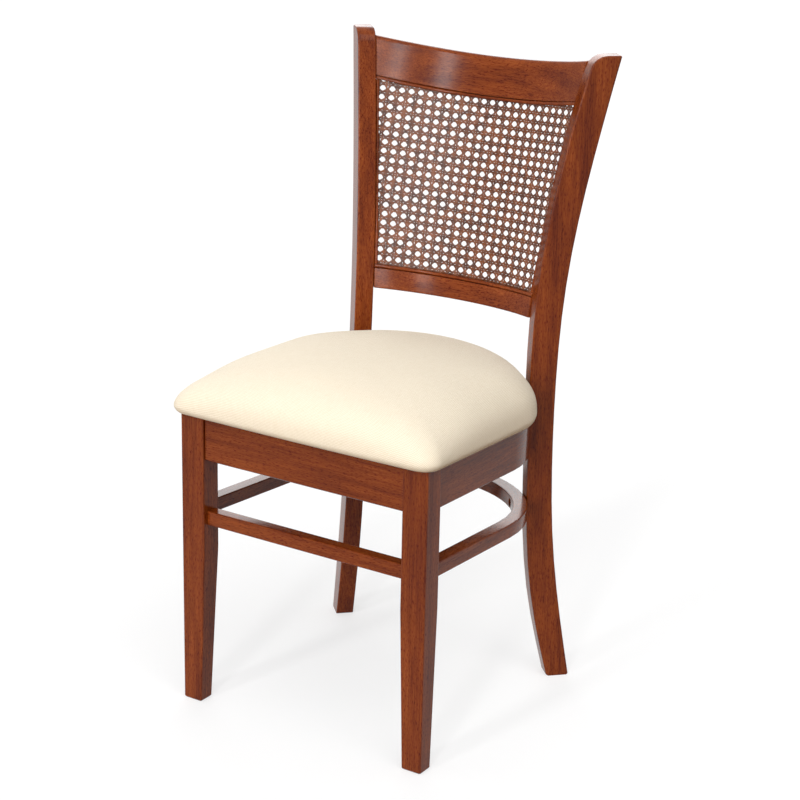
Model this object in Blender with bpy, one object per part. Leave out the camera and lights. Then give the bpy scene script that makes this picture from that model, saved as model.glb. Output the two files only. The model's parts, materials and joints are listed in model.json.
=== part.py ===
"""Upholstered side chair with a caned back, in bent and sawn beech.

A bentwood seat hoop and a lighter stretcher hoop run from the two square front legs round
the back of the seat, where they are screwed to two sabre-shaped rear posts set on the
diagonal.  The posts carry a curved crest rail and a curved lower back rail, with a cane
panel and its beads between them.  The seat is a plywood board wrapped in a domed cushion
and screwed up through corner blocks.

Metres, +Z up, the chair faces -Y.  Left and right are as seen from in front.
"""

import math

import bmesh
import bpy
import numpy as np
from mathutils import Vector

# Clearances
FIT_GAP = 0.0003
DEPTH_GAP = 0.0006
CUT_MARGIN = 0.0030

# Front legs
LEG_SPREAD = 0.3924
LEG_WIDTH = 0.0374
LEG_DEPTH = 0.0327
LEG_TAPER_START = 0.2254
LEG_TAPER_IN = 0.0077
LEG_TAPER_BACK = 0.0086
LEG_FRONT_RADIUS = 0.0022
LEG_ARRIS = 0.0011
FOOT_CHAMFER = 0.0022

# Seat frame: front rail and bentwood hoop, whose tops fall gently towards the back
FRAME_TOP = 0.4212
SEAT_RAKE_SHARE = 0.050
FRONT_RAIL_HEIGHT = 0.0627
FRONT_RAIL_THICKNESS = 0.0200
FRONT_RAIL_SETBACK = 0.0037
SEAT_HOOP_HEIGHT = 0.0596
SEAT_HOOP_THICKNESS = 0.0195
WOOD_ARRIS = 0.0018

# Plan of the seat hoop's outer face, which stands a little inside the legs' outer faces
SEAT_PLAN_INSET = 0.0050
SEAT_PLAN_TOE_IN_SHARE = 0.0305
SEAT_PLAN_STRAIGHT_END = 0.2358
SEAT_PLAN_CORNER_RADIUS = 0.1701
SEAT_PLAN_CORNER_TURN = math.radians(39.2)

# Plan of the stretcher hoop's outer face, a little wider at the back than the seat hoop's
STRETCHER_PLAN_EXTRA_SPREAD = 0.0066
STRETCHER_PLAN_TOE_IN_SHARE = 0.0168
STRETCHER_PLAN_EARLIER_BEND = 0.0135
STRETCHER_PLAN_EXTRA_RADIUS = 0.0081
STRETCHER_PLAN_CORNER_TURN = math.radians(50.5)

# Both plans are drawn in short straight steps
PLAN_STRAIGHT_SHARES = (0, 1 / 3, 2 / 3)
PLAN_CORNER_STEPS = 6
PLAN_REAR_STEPS = 7

# Stretchers
FRONT_STRETCHER_HEIGHT = 0.0204
FRONT_STRETCHER_THICKNESS = 0.0178
FRONT_STRETCHER_TOP = 0.2849
FRONT_STRETCHER_SETBACK = 0.0074
STRETCHER_HOOP_HEIGHT = 0.0197
STRETCHER_HOOP_THICKNESS = 0.0204
STRETCHER_HOOP_TOP = 0.2885
STRETCHER_ARRIS = 0.0011

# Tenons
RAIL_TENON_HEIGHT = 0.0400
RAIL_TENON_THICKNESS = 0.0090
RAIL_TENON_LENGTH = 0.0150
HOOP_TENON_HEIGHT = 0.0360
HOOP_TENON_THICKNESS = 0.0085
HOOP_TENON_LENGTH = 0.0100
STRETCHER_TENON_SIZE = 0.0110
STRETCHER_TENON_LENGTH = 0.0140
STRETCHER_HOOP_TENON_LENGTH = 0.0100
TENON_ARRIS = 0.0008

# Rear posts: sawn from a plank that stands on the diagonal and leans in at the top.  The line of
# its middle crosses the chair's middle plane at the setback, behind the leg fronts.
POST_HEIGHT = 0.8875
POST_THICKNESS = 0.0260
POST_TURN = math.radians(44.94)
POST_LEAN_SHARE = 0.0309
POST_LINE_SETBACK = 0.1880
POST_HOUSING = 0.0010
POST_STATION_SHARES = (0.0, 0.125, 0.25, 0.375, 0.5, 0.625, 0.75, 0.875, 1.0)
POST_SWEEPS = (0.0384, 0.0137, 0.0020, 0.0, 0.0, 0.0050, 0.0201, 0.0433, 0.0737)
POST_DEPTHS = (0.0326, 0.0389, 0.0379, 0.0360, 0.0373, 0.0394, 0.0406, 0.0416, 0.0384)
POST_TIP_RADIUS = 0.0250
POST_ARRIS = 0.0012
POST_SLICES = 20
POST_TIP_STEPS = 4
POST_FLAT_SHARES = (0, 0.25, 0.5, 0.75, 1)

# Back: a face curved across and up, measured from a point midway up the cane.  Its heights are
# shares of the posts' rise above the seat frame.
BACK_MIDDLE_SHARE = 0.5479
BACK_HOLLOW = 0.0472
BACK_LEAN = math.radians(12.57)
BACK_LEAN_GROWTH = 4.5641
BACK_LEAN_FADE = 0.6277
BACK_RADIUS = 0.32227
BACK_FLATTENING = 2.0281
BACK_SPINE_STEPS = 16
BACK_EDGE_HALVINGS = 40
CREST_TOP_SHARE = 0.40575
CREST_BOTTOM_SHARE = 0.28694
CREST_END_LIFT_SHARE = 0.01544
CREST_THICKNESS = 0.0178
CREST_TOP_RADIUS = 0.0062
LOWER_RAIL_TOP_SHARE = -0.27514
LOWER_RAIL_BOTTOM_SHARE = -0.33562
LOWER_RAIL_THICKNESS = 0.0175
BACK_ARRIS = 0.0016
BACK_TENON_LENGTH = 0.0140
BACK_TENON_SHARE = 0.5
TENON_SQUARENESS = 4
BACK_BAYS = 18

# Cane panel and its beads
BEAD_WIDTH = 0.0046
BEAD_DEPTH = 0.0050
BEAD_PROUD = 0.0004
BEAD_ROUND = 0.0014
QUIRK_GAP = 0.0008
CANE_GAP = 0.0005
CANE_THICKNESS = 0.0014
CANE_KERF_DEPTH = 0.0026
CANE_COLUMNS = 14
CANE_ROWS = 12
CANE_HOLE_SHARE = 0.60
CANE_CORNER_SHARE = 0.30
CANE_SIDE_BORDER_SHARE = 0.55
CANE_END_BORDER_SHARE = 0.45
SIDE_BEAD_BAYS = 8
KERF_BAYS = 12

# Cushion: domed over the board, its sides drawn in above the turned-under edge
CUSHION_OVERHANG = 0.0180
CUSHION_FRONT = -0.0165
CUSHION_BOW = 0.0022
CUSHION_CORNER_RADIUS = 0.0280
CUSHION_POST_GAP = 0.0022
CUSHION_DRAW_IN = 0.0086
CUSHION_BULGE_HEIGHT = 0.0100
CUSHION_BULGE_RISE_SHARE = 0.012
CUSHION_TUCK_SHARES = (0.35, 0.33)
CUSHION_CORNER_REACH = 0.1300
CUSHION_CORNER_SOFTENING = 0.95
CUSHION_CROWN = 0.0705
CUSHION_REAR_LIFT_SHARE = 0.040
CUSHION_CROWN_SETBACK = 0.1420
CUSHION_DOME_POWER = 2.9
CUSHION_EDGE_POWER = 2.55
CUSHION_EDGE_STEPS = 4
CUSHION_RING_SHARES = (0.994, 0.978, 0.95, 0.905, 0.84, 0.74, 0.60, 0.42, 0.22)
CUSHION_LIP = 0.0260
CUSHION_LIP_THICKNESS = 0.0012

# Seat board, dust cover and blocks
BOARD_THICKNESS = 0.0100
BOARD_INSET = 0.0020
DUST_COVER_THICKNESS = 0.0008
DUST_COVER_GAP = 0.0010
BLOCK_HEIGHT = 0.0240
BLOCK_DROP = 0.0006
FRONT_BLOCK_REACH = 0.0460
FRONT_BLOCK_NOSE_SHARE = 1 / 3
FRONT_BLOCK_DEPTH_SHARE = 0.5
FRONT_SCREW_BACK_SHARE = 0.2
REAR_BLOCK_STATIONS = slice(10, 14)
REAR_BLOCK_DEPTH = 0.0230

# Hoop screws: one row of two at the seat, one at the stretcher, on each post
SCREW_HEAD_RADIUS = 0.0050
SCREW_HEAD_HEIGHT = 0.0040
SCREW_SHANK_RADIUS = 0.0030
SCREW_BITE = 0.0240
SCREW_POINT = 0.0030
SCREW_EASE_SHARE = 0.25
SCREW_TIP_SHARE = 1 / 3
COUNTERBORE_RADIUS = 0.0060
COUNTERBORE_DEPTH = 0.0065
BORE_CLEARANCE = 0.0004
SEAT_SCREW_SPACING = 0.0280

# Seat screws, driven up through the blocks into the board
BOARD_SCREW_HEAD_RADIUS = 0.0042
BOARD_SCREW_HEAD_HEIGHT = 0.0026
BOARD_SCREW_SHANK_RADIUS = 0.0021
BOARD_SCREW_BITE = 0.0072
BOARD_SCREW_SINK = 0.0060

ROUND_FACETS = 10
BORE_FACETS = 12
CORNER_STEPS = 3

RIGHT = 1
LEFT = -1
SIDES = ((RIGHT, "right"), (LEFT, "left"))


def finish(name, colour, roughness, metallic=0.0):
    """A plain Principled surface."""
    surface = bpy.data.materials.new(name)
    surface.use_nodes = True
    shader = surface.node_tree.nodes["Principled BSDF"]
    shader.inputs["Base Color"].default_value = (*colour, 1.0)
    shader.inputs["Roughness"].default_value = roughness
    shader.inputs["Metallic"].default_value = metallic
    surface.diffuse_color = (*colour, 1.0)
    return surface


# Shapes: every solid is a pair of vertices and faces until it is placed


def loft(rings):
    """Skin a row of rings, all with the same number of points, and cap both ends."""
    count = len(rings[0])
    last = (len(rings) - 1) * count
    faces = []
    for first in range(0, last, count):
        for corner in range(count):
            after = (corner + 1) % count
            faces.append((first + corner, first + after, first + count + after, first + count + corner))
    faces.append(tuple(range(count)))
    faces.append(tuple(range(last, last + count)))
    return [Vector(point) for ring in rings for point in ring], faces


def merge(*solids):
    """Several separate solids as one cutter."""
    points = []
    faces = []
    for solid_points, solid_faces in solids:
        offset = len(points)
        points.extend(solid_points)
        faces.extend(tuple(index + offset for index in face) for face in solid_faces)
    return points, faces


def mirrored(solid, side):
    """The solid itself on the right, its mirror image on the left."""
    points, faces = solid
    return [Vector((side * point.x, point.y, point.z)) for point in points], faces


def place(name, solid, surface, smooth_angle=math.radians(32.0)):
    """Make one named object from a solid, facing outwards."""
    points, faces = solid
    mesh = bpy.data.meshes.new(name)
    mesh.from_pydata([tuple(point) for point in points], [], faces)
    shell = bmesh.new()
    shell.from_mesh(mesh)
    bmesh.ops.recalc_face_normals(shell, faces=shell.faces)
    shell.to_mesh(mesh)
    shell.free()
    mesh.polygons.foreach_set("use_smooth", [True] * len(mesh.polygons))
    mesh.set_sharp_from_angle(angle=smooth_angle)
    mesh.materials.append(surface)
    piece = bpy.data.objects.new(name, mesh)
    bpy.context.scene.collection.objects.link(piece)
    piece.parent = CHAIR
    return piece


def cut(piece, solid):
    """Cut a solid out of a piece with a hidden cutter."""
    cutter = place("cutter_" + piece.name, solid, CUTTER_FINISH)
    cutter.hide_render = True
    cutter.display_type = "WIRE"
    saw = piece.modifiers.new("joinery", "BOOLEAN")
    saw.operation = "DIFFERENCE"
    saw.solver = "EXACT"
    saw.object = cutter


def eased_rectangle(low, high, eases):
    """Rectangle with its four corners rounded, each by (radius, steps), from low-low round."""
    (left, bottom), (right, top) = low, high
    corners = ((left, bottom, 1, 1), (right, bottom, -1, 1), (right, top, -1, -1), (left, top, 1, -1))
    loop = []
    for turn, ((across, up, inwards, upwards), (radius, steps)) in enumerate(zip(corners, eases)):
        centre = (across + inwards * radius, up + upwards * radius)
        for step in range(steps + 1):
            angle = math.pi + (turn + step / steps) * math.pi / 2
            loop.append((centre[0] + radius * math.cos(angle), centre[1] + radius * math.sin(angle)))
    return loop


def eased_bar(across, up, arris):
    """Section of a bar centred on its own middle with four eased corners."""
    return eased_rectangle((-across / 2, -up / 2), (across / 2, up / 2), ((arris, 1),) * 4)


def turned(stations, place_point, facets):
    """A round piece from (distance, radius) stations along an axis."""
    turns = [2 * math.pi * facet / facets for facet in range(facets)]
    return loft([
        [place_point(along, radius * math.cos(turn), radius * math.sin(turn)) for turn in turns]
        for along, radius in stations
    ])


def inset_loop(loop, distance):
    """Move a closed flat loop inwards by a distance, mitring at its corners."""
    moved = []
    area = sum(a[0] * b[1] - b[0] * a[1] for a, b in zip(loop, loop[1:] + loop[:1]))
    sense = math.copysign(1, area)
    for before, here, after in zip(loop[-1:] + loop[:-1], loop, loop[1:] + loop[:1]):
        normals = []
        for start, end in ((before, here), (here, after)):
            run = (end[0] - start[0], end[1] - start[1])
            length = math.hypot(*run)
            normals.append((-sense * run[1] / length, sense * run[0] / length))
        (ax, ay), (bx, by) = normals
        reach = distance / (1 + ax * bx + ay * by)
        moved.append((here[0] + (ax + bx) * reach, here[1] + (ay + by) * reach))
    return moved


def smooth_through(knots, values, at):
    """Natural cubic curve through evenly or unevenly spaced knots."""
    knots = np.array(knots, dtype=float)
    values = np.array(values, dtype=float)
    gaps = np.diff(knots)
    slopes = np.diff(values) / gaps
    count = len(knots)
    system = np.eye(count)
    right_side = np.zeros(count)
    for row in range(1, count - 1):
        system[row, row - 1:row + 2] = gaps[row - 1], 2 * (gaps[row - 1] + gaps[row]), gaps[row]
        right_side[row] = 6 * (slopes[row] - slopes[row - 1])
    bends = np.linalg.solve(system, right_side)
    span = int(np.clip(np.searchsorted(knots, at) - 1, 0, count - 2))
    ahead = (at - knots[span]) / gaps[span]
    behind = 1 - ahead
    bulge = (behind ** 3 - behind) * bends[span] + (ahead ** 3 - ahead) * bends[span + 1]
    return float(behind * values[span] + ahead * values[span + 1] + bulge * gaps[span] ** 2 / 6)


# Seat plane and front joinery


def seat_plane(back):
    """Height of the raked top of the seat frame at a distance behind the leg fronts."""
    return FRAME_TOP - SEAT_RAKE_SHARE * back


def hoop_drop(back):
    """How far a hoop has fallen below its height at the front legs."""
    return SEAT_RAKE_SHARE * (back - LEG_DEPTH)


LEG_OUTER = LEG_SPREAD / 2
LEG_INNER = LEG_OUTER - LEG_WIDTH


def leg_ring(height, inset, taper):
    """Plan loop of a right front leg at one height."""
    low = (LEG_INNER + taper * LEG_TAPER_IN + inset, inset)
    high = (LEG_OUTER - inset, LEG_DEPTH - taper * LEG_TAPER_BACK - inset)
    eases = ((LEG_ARRIS, 1), (LEG_FRONT_RADIUS, CORNER_STEPS), (LEG_ARRIS, 1), (LEG_ARRIS, 1))
    return [(x, y, height) for x, y in eased_rectangle(low, high, eases)]


def front_leg():
    """Square leg, tapered on its inner and rear faces below the stretchers."""
    chamfer_taper = 1 - FOOT_CHAMFER / LEG_TAPER_START
    top = [(x, y, seat_plane(y)) for x, y, _ in leg_ring(FRAME_TOP, 0, 0)]
    return loft([
        leg_ring(0, FOOT_CHAMFER, 1),
        leg_ring(FOOT_CHAMFER, 0, chamfer_taper),
        leg_ring(LEG_TAPER_START, 0, 0),
        top,
    ])


def tenoned_bar(half_length, section, tenon, tenon_length, locate):
    """Bar across the chair with a tenon at each end."""
    shoulder = half_length - FIT_GAP
    tip = shoulder + tenon_length
    stations = (
        (-tip, tenon), (-shoulder, tenon), (-shoulder, section),
        (shoulder, section), (shoulder, tenon), (tip, tenon),
    )
    return loft([[locate(x, y, z) for y, z in loop] for x, loop in stations])


def mortise(start, depth, loop, locate):
    """Pocket for a tenon: its section grown by the fit gap, cut past the face it enters."""
    grown = inset_loop(loop, -FIT_GAP)
    return loft([[locate(along, *point) for point in grown] for along in (start - CUT_MARGIN, start + depth)])


FRONT_RAIL_MIDDLE = FRONT_RAIL_SETBACK + FRONT_RAIL_THICKNESS / 2
FRONT_STRETCHER_MIDDLE = FRONT_STRETCHER_SETBACK + FRONT_STRETCHER_THICKNESS / 2


def on_front_rail(x, y, z):
    """Point of the front rail from its section, following the seat plane."""
    back = FRONT_RAIL_MIDDLE + y
    return (x, back, seat_plane(back) - FRONT_RAIL_HEIGHT / 2 + z)


def on_front_stretcher(x, y, z):
    """Point of the front stretcher from its section."""
    return (x, FRONT_STRETCHER_MIDDLE + y, FRONT_STRETCHER_TOP - FRONT_STRETCHER_HEIGHT / 2 + z)


def entering_leg(locate):
    """Turn a bar's own point function into one that runs into the right leg."""
    return lambda depth, y, z: locate(LEG_INNER + depth, y, z)


# Bentwood hoops


SEAT_PLAN_SPREAD = LEG_SPREAD - 2 * SEAT_PLAN_INSET
SEAT_PLAN = (SEAT_PLAN_SPREAD, SEAT_PLAN_TOE_IN_SHARE, SEAT_PLAN_STRAIGHT_END,
             SEAT_PLAN_CORNER_RADIUS, SEAT_PLAN_CORNER_TURN)
STRETCHER_PLAN = (SEAT_PLAN_SPREAD + STRETCHER_PLAN_EXTRA_SPREAD, STRETCHER_PLAN_TOE_IN_SHARE,
                  SEAT_PLAN_STRAIGHT_END - STRETCHER_PLAN_EARLIER_BEND,
                  SEAT_PLAN_CORNER_RADIUS + STRETCHER_PLAN_EXTRA_RADIUS, STRETCHER_PLAN_CORNER_TURN)


def hoop_plan(shape, inset, front):
    """Right half of a hoop's plan curve, front to rear: (x, y, outward normal angle)."""
    spread, toe_in_share, straight_end, corner_radius, corner_turn = shape
    toe = math.atan(toe_in_share)
    out = (math.cos(toe), math.sin(toe))
    bend_x = spread / 2 - toe_in_share * (straight_end - LEG_DEPTH)
    corner = (bend_x - out[0] * corner_radius, straight_end - out[1] * corner_radius)
    joint_angle = toe + corner_turn
    joint_x = corner[0] + corner_radius * math.cos(joint_angle)
    rear_radius = joint_x / math.cos(joint_angle)
    rear_y = corner[1] - (rear_radius - corner_radius) * math.sin(joint_angle)
    plan = []
    for share in PLAN_STRAIGHT_SHARES:
        y = front + (straight_end - front) * share
        x = bend_x + toe_in_share * (straight_end - y)
        plan.append((x - inset * out[0], y - inset * out[1] * share, toe))
    for step in range(PLAN_CORNER_STEPS):
        angle = toe + corner_turn * step / PLAN_CORNER_STEPS
        radius = corner_radius - inset
        plan.append((corner[0] + radius * math.cos(angle), corner[1] + radius * math.sin(angle), angle))
    for step in range(PLAN_REAR_STEPS + 1):
        angle = joint_angle + (math.pi / 2 - joint_angle) * step / PLAN_REAR_STEPS
        radius = rear_radius - inset
        plan.append((radius * math.cos(angle), rear_y + radius * math.sin(angle), angle))
    return plan


def both_halves(half):
    """Run a right half plan round to the front of the left half."""
    return half + [(-x, y, math.pi - angle) for x, y, angle in reversed(half[:-1])]


def bent_hoop(shape, top, height, thickness, arris, tenon, tenon_length):
    """Bent bar from leg to leg round the back, with a straight tenon at each front end."""
    front = LEG_DEPTH + FIT_GAP
    plan = both_halves(hoop_plan(shape, thickness / 2, front))
    middle = top - height / 2
    section = eased_bar(thickness, height, arris)
    rings = []
    for x, y, angle in plan:
        rings.append([
            (x + out * math.cos(angle), y + out * math.sin(angle), middle - hoop_drop(y) + up)
            for out, up in section
        ])
    ends = []
    for side, ring in ((RIGHT, rings[0]), (LEFT, rings[-1])):
        x = plan[0][0]
        ring[:] = [(side * (x + out), front, middle + up) for out, up in section]
        ends.append([[(side * (x + out), y, middle + up) for out, up in tenon]
                     for y in (front, front - tenon_length)])
    right_end, left_end = ends
    return loft([right_end[1], right_end[0], *rings, left_end[0], left_end[1]])


def hoop_mortise(shape, top, height, thickness, tenon, tenon_length):
    """Pocket in the rear face of a right leg for a hoop's tenon."""
    x = hoop_plan(shape, thickness / 2, LEG_DEPTH + FIT_GAP)[0][0]
    middle = top - height / 2
    return mortise(0, tenon_length + DEPTH_GAP, tenon,
                   lambda depth, out, up: (x + out, LEG_DEPTH - depth, middle + up))


SEAT_HOOP_TOP = seat_plane(LEG_DEPTH)
SEAT_HOOP_TENON = eased_bar(HOOP_TENON_THICKNESS, HOOP_TENON_HEIGHT, TENON_ARRIS)
STRETCHER_TENON = eased_bar(STRETCHER_TENON_SIZE, STRETCHER_TENON_SIZE, TENON_ARRIS)
FRONT_RAIL_TENON = eased_bar(RAIL_TENON_THICKNESS, RAIL_TENON_HEIGHT, TENON_ARRIS)


# Rear posts


def hoop_reach(height, shape, inset):
    """How far along a post's middle line a hoop's plan curve crosses it."""
    plan = hoop_plan(shape, inset, LEG_DEPTH)
    across, along = math.cos(POST_TURN), math.sin(POST_TURN)
    reach = None
    for (x, y, _), (next_x, next_y, _) in zip(plan, plan[1:]):
        offs = [
            px * across - (py - POST_LINE_SETBACK) * along + POST_LEAN_SHARE * height
            for px, py in ((x, y), (next_x, next_y))
        ]
        if offs[0] >= 0 > offs[1]:
            share = offs[0] / (offs[0] - offs[1])
            px = x + (next_x - x) * share
            py = y + (next_y - y) * share - POST_LINE_SETBACK
            reach = px * along + py * across
    return reach


POST_WAIST_REACH = hoop_reach(FRAME_TOP, SEAT_PLAN, 0) - POST_HOUSING


def post_front(height):
    """Reach of a post's front edge along the diagonal."""
    return POST_WAIST_REACH + smooth_through(POST_STATION_SHARES, POST_SWEEPS, height / POST_HEIGHT)


def post_back(height):
    """Reach of a post's back edge along the diagonal."""
    return post_front(height) + smooth_through(POST_STATION_SHARES, POST_DEPTHS, height / POST_HEIGHT)


def post_point(reach, off, height):
    """Point of the right post: reach along the diagonal, off to its outer side."""
    along, across = math.sin(POST_TURN), math.cos(POST_TURN)
    side = off - POST_LEAN_SHARE * height
    return (
        along * reach + across * side,
        POST_LINE_SETBACK + across * reach - along * side,
        height,
    )


def post_outline():
    """The sabre curve a post is sawn to: front edge up, rounded tip, back edge down."""
    base = POST_HEIGHT - POST_TIP_RADIUS
    slope = math.atan((post_front(POST_HEIGHT) - post_front(base)) / POST_TIP_RADIUS)
    tangent = base + POST_TIP_RADIUS * math.sin(slope)
    tip_centre = post_front(tangent) + POST_TIP_RADIUS * math.cos(slope)
    outline = [(post_front(0) + FOOT_CHAMFER, 0.0), (post_front(FOOT_CHAMFER), FOOT_CHAMFER)]
    for step in range(1, POST_SLICES + 1):
        height = tangent * step / POST_SLICES
        outline.append((post_front(height), height))
    for step in range(1, POST_TIP_STEPS + 1):
        angle = math.pi - slope - (math.pi / 2 - slope) * step / POST_TIP_STEPS
        outline.append((tip_centre + POST_TIP_RADIUS * math.cos(angle),
                        base + POST_TIP_RADIUS * math.sin(angle)))
    outline.append((post_back(POST_HEIGHT) - POST_ARRIS, POST_HEIGHT))
    outline.append((post_back(POST_HEIGHT), POST_HEIGHT - POST_ARRIS))
    for step in range(POST_SLICES - 1, 0, -1):
        height = POST_HEIGHT * step / POST_SLICES
        outline.append((post_back(height), height))
    outline += [(post_back(FOOT_CHAMFER), FOOT_CHAMFER), (post_back(0) - FOOT_CHAMFER, 0.0)]
    return outline


def rear_post():
    """Right rear post, sawn to its outline with eased arrises."""
    outline = post_outline()
    eased = inset_loop(outline, POST_ARRIS)
    eased = [(reach, 0 if spot[1] == 0 else height) for (reach, height), spot in zip(eased, outline)]
    half = POST_THICKNESS / 2
    layers = ((eased, -half), (outline, POST_ARRIS - half), (outline, half - POST_ARRIS), (eased, half))
    return loft([[post_point(reach, off, height) for reach, height in loop] for loop, off in layers])


def post_inner_clearance(x, y, z):
    """Distance from the right post's inner face, positive on the cane side."""
    across, along = math.cos(POST_TURN), math.sin(POST_TURN)
    off = x * across - (y - POST_LINE_SETBACK) * along
    return -POST_THICKNESS / 2 - POST_LEAN_SHARE * z - off


def post_flat(bottom, top):
    """What is planed off a hoop where the right post bears on it."""
    rings = []
    half = POST_THICKNESS / 2 + FIT_GAP * 2
    for share in POST_FLAT_SHARES:
        height = bottom + (top - bottom) * share
        face = post_front(height) - FIT_GAP
        rings.append([post_point(reach, off, height) for reach, off in (
            (face, -half), (face + POST_THICKNESS, -half), (face + POST_THICKNESS, half), (face, half))])
    return loft(rings)


# Screws through the hoops into the posts


def screw_axis(height):
    """Point function for a screw driven square to the right post's front face."""
    face = post_front(height)
    return lambda along, across, up: post_point(face + along, across + POST_LEAN_SHARE * up, height + up)


def hoop_inner_reach(height, shape, thickness):
    """How far in front of the post face the inner face of a hoop stands."""
    return post_front(height) - hoop_reach(height, shape, thickness)


def hoop_screw(height, shape, thickness):
    """Screw with its head sunk in the hoop and its shank biting into the post."""
    floor = COUNTERBORE_DEPTH - hoop_inner_reach(height, shape, thickness) - FIT_GAP
    head = floor - SCREW_HEAD_HEIGHT
    stations = (
        (head, SCREW_HEAD_RADIUS - SCREW_POINT * SCREW_EASE_SHARE),
        (head + SCREW_POINT * SCREW_EASE_SHARE, SCREW_HEAD_RADIUS),
        (floor, SCREW_HEAD_RADIUS), (floor, SCREW_SHANK_RADIUS),
        (SCREW_BITE - SCREW_POINT, SCREW_SHANK_RADIUS), (SCREW_BITE, SCREW_SHANK_RADIUS * SCREW_TIP_SHARE),
    )
    return turned(stations, screw_axis(height), ROUND_FACETS)


def hoop_bore(height, shape, thickness):
    """Counterbore in the hoop and pilot hole on into the post."""
    inner = hoop_inner_reach(height, shape, thickness)
    floor = COUNTERBORE_DEPTH - inner
    pilot = SCREW_SHANK_RADIUS + BORE_CLEARANCE
    stations = (
        (-inner - CUT_MARGIN, COUNTERBORE_RADIUS), (floor, COUNTERBORE_RADIUS),
        (floor, pilot), (SCREW_BITE + DEPTH_GAP, pilot),
    )
    return turned(stations, screw_axis(height), BORE_FACETS)


# Curved back


BACK_RISE = POST_HEIGHT - FRAME_TOP
BACK_MIDDLE_HEIGHT = FRAME_TOP + BACK_RISE * BACK_MIDDLE_SHARE
BACK_MIDDLE_SETBACK = post_point(post_front(BACK_MIDDLE_HEIGHT), 0, BACK_MIDDLE_HEIGHT)[1] + BACK_HOLLOW
CREST_TOP_REACH = BACK_RISE * CREST_TOP_SHARE
CREST_BOTTOM_REACH = BACK_RISE * CREST_BOTTOM_SHARE
CREST_END_LIFT = BACK_RISE * CREST_END_LIFT_SHARE
LOWER_RAIL_TOP_REACH = BACK_RISE * LOWER_RAIL_TOP_SHARE
LOWER_RAIL_BOTTOM_REACH = BACK_RISE * LOWER_RAIL_BOTTOM_SHARE


def back_spine(reach):
    """Setback and height of the back's centre line at a distance up from its middle."""
    setback, height = BACK_MIDDLE_SETBACK, BACK_MIDDLE_HEIGHT
    stride = reach / BACK_SPINE_STEPS
    for step in range(BACK_SPINE_STEPS):
        lean = back_lean((2 * step + 1) * stride / 2)
        setback += math.sin(lean) * stride
        height += math.cos(lean) * stride
    return setback, height


def back_lean(reach):
    """Lean of the back from upright."""
    return BACK_LEAN + reach / BACK_LEAN_GROWTH - (reach / BACK_LEAN_FADE) ** 2


def back_point(across, reach, depth):
    """Point of the back: across its curve, up its lean, behind its front face."""
    setback, height = back_spine(reach)
    lean = back_lean(reach)
    curve = (1 - reach / BACK_FLATTENING) / BACK_RADIUS
    turn = curve * across
    sagitta = (1 - math.cos(turn)) / curve
    normal = (-math.sin(turn), math.cos(turn) * math.cos(lean), -math.cos(turn) * math.sin(lean))
    return (
        math.sin(turn) / curve + depth * normal[0],
        setback - math.cos(lean) * sagitta + depth * normal[1],
        height + math.sin(lean) * sagitta + depth * normal[2],
    )


def back_edge(reach_at, depth, gap):
    """How far across the back reaches before it meets the right post, for one level line."""
    near, far = 0, LEG_SPREAD
    for _ in range(BACK_EDGE_HALVINGS):
        middle = (near + far) / 2
        if post_inner_clearance(*back_point(middle, reach_at(middle), depth)) > gap:
            near = middle
        else:
            far = middle
    return near


def crest_line(reach):
    """Level line that lifts towards the ends, as the crest's edges and the top bead do."""
    return lambda across: reach + CREST_END_LIFT * (across / LEG_INNER) ** 2


def level_line(reach):
    """Line a fixed distance up the back."""
    return lambda across: reach


def across_post(point, depth):
    """Move a point square into the right post."""
    x, y, z = point
    return (x + math.cos(POST_TURN) * depth, y - math.sin(POST_TURN) * depth, z)


def back_rail(loop, line, tenon_loop):
    """Curved rail between the posts: section of (reach, depth), tenoned at both ends."""
    edges = [back_edge(line(reach), depth, FIT_GAP) for reach, depth in loop]
    rings = []
    for bay in range(BACK_BAYS + 1):
        share = 2 * bay / BACK_BAYS - 1
        rings.append([
            back_point(edge * share, line(reach)(edge * share), depth)
            for (reach, depth), edge in zip(loop, edges)
        ])
    root = back_tenon(tenon_loop, line, 0)
    tip = back_tenon(tenon_loop, line, BACK_TENON_LENGTH)
    flip = [[(-x, y, z) for x, y, z in ring] for ring in (tip, root)]
    return loft([*flip, *rings, root, tip])


def back_tenon(loop, line, depth_in):
    """One ring of a back rail's tenon, on the post's inner face or square into the post."""
    ring = []
    for reach, depth in loop:
        edge = back_edge(line(reach), depth, FIT_GAP)
        ring.append(across_post(back_point(edge, line(reach)(edge), depth), depth_in))
    return ring


def back_mortise(tenon_loop, line):
    """Pocket for a back rail's tenon in the right post."""
    grown = inset_loop(tenon_loop, -FIT_GAP)
    return loft([
        back_tenon(grown, line, -CUT_MARGIN),
        back_tenon(grown, line, BACK_TENON_LENGTH + DEPTH_GAP),
    ])


CANE_DEPTH = BEAD_DEPTH - BEAD_PROUD + CANE_GAP
REBATE_DEPTH = CANE_DEPTH + CANE_THICKNESS + CANE_GAP
TOP_BEAD_LOW = CREST_BOTTOM_REACH - QUIRK_GAP - BEAD_WIDTH
LOWER_BEAD_HIGH = LOWER_RAIL_TOP_REACH + QUIRK_GAP + BEAD_WIDTH


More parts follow.
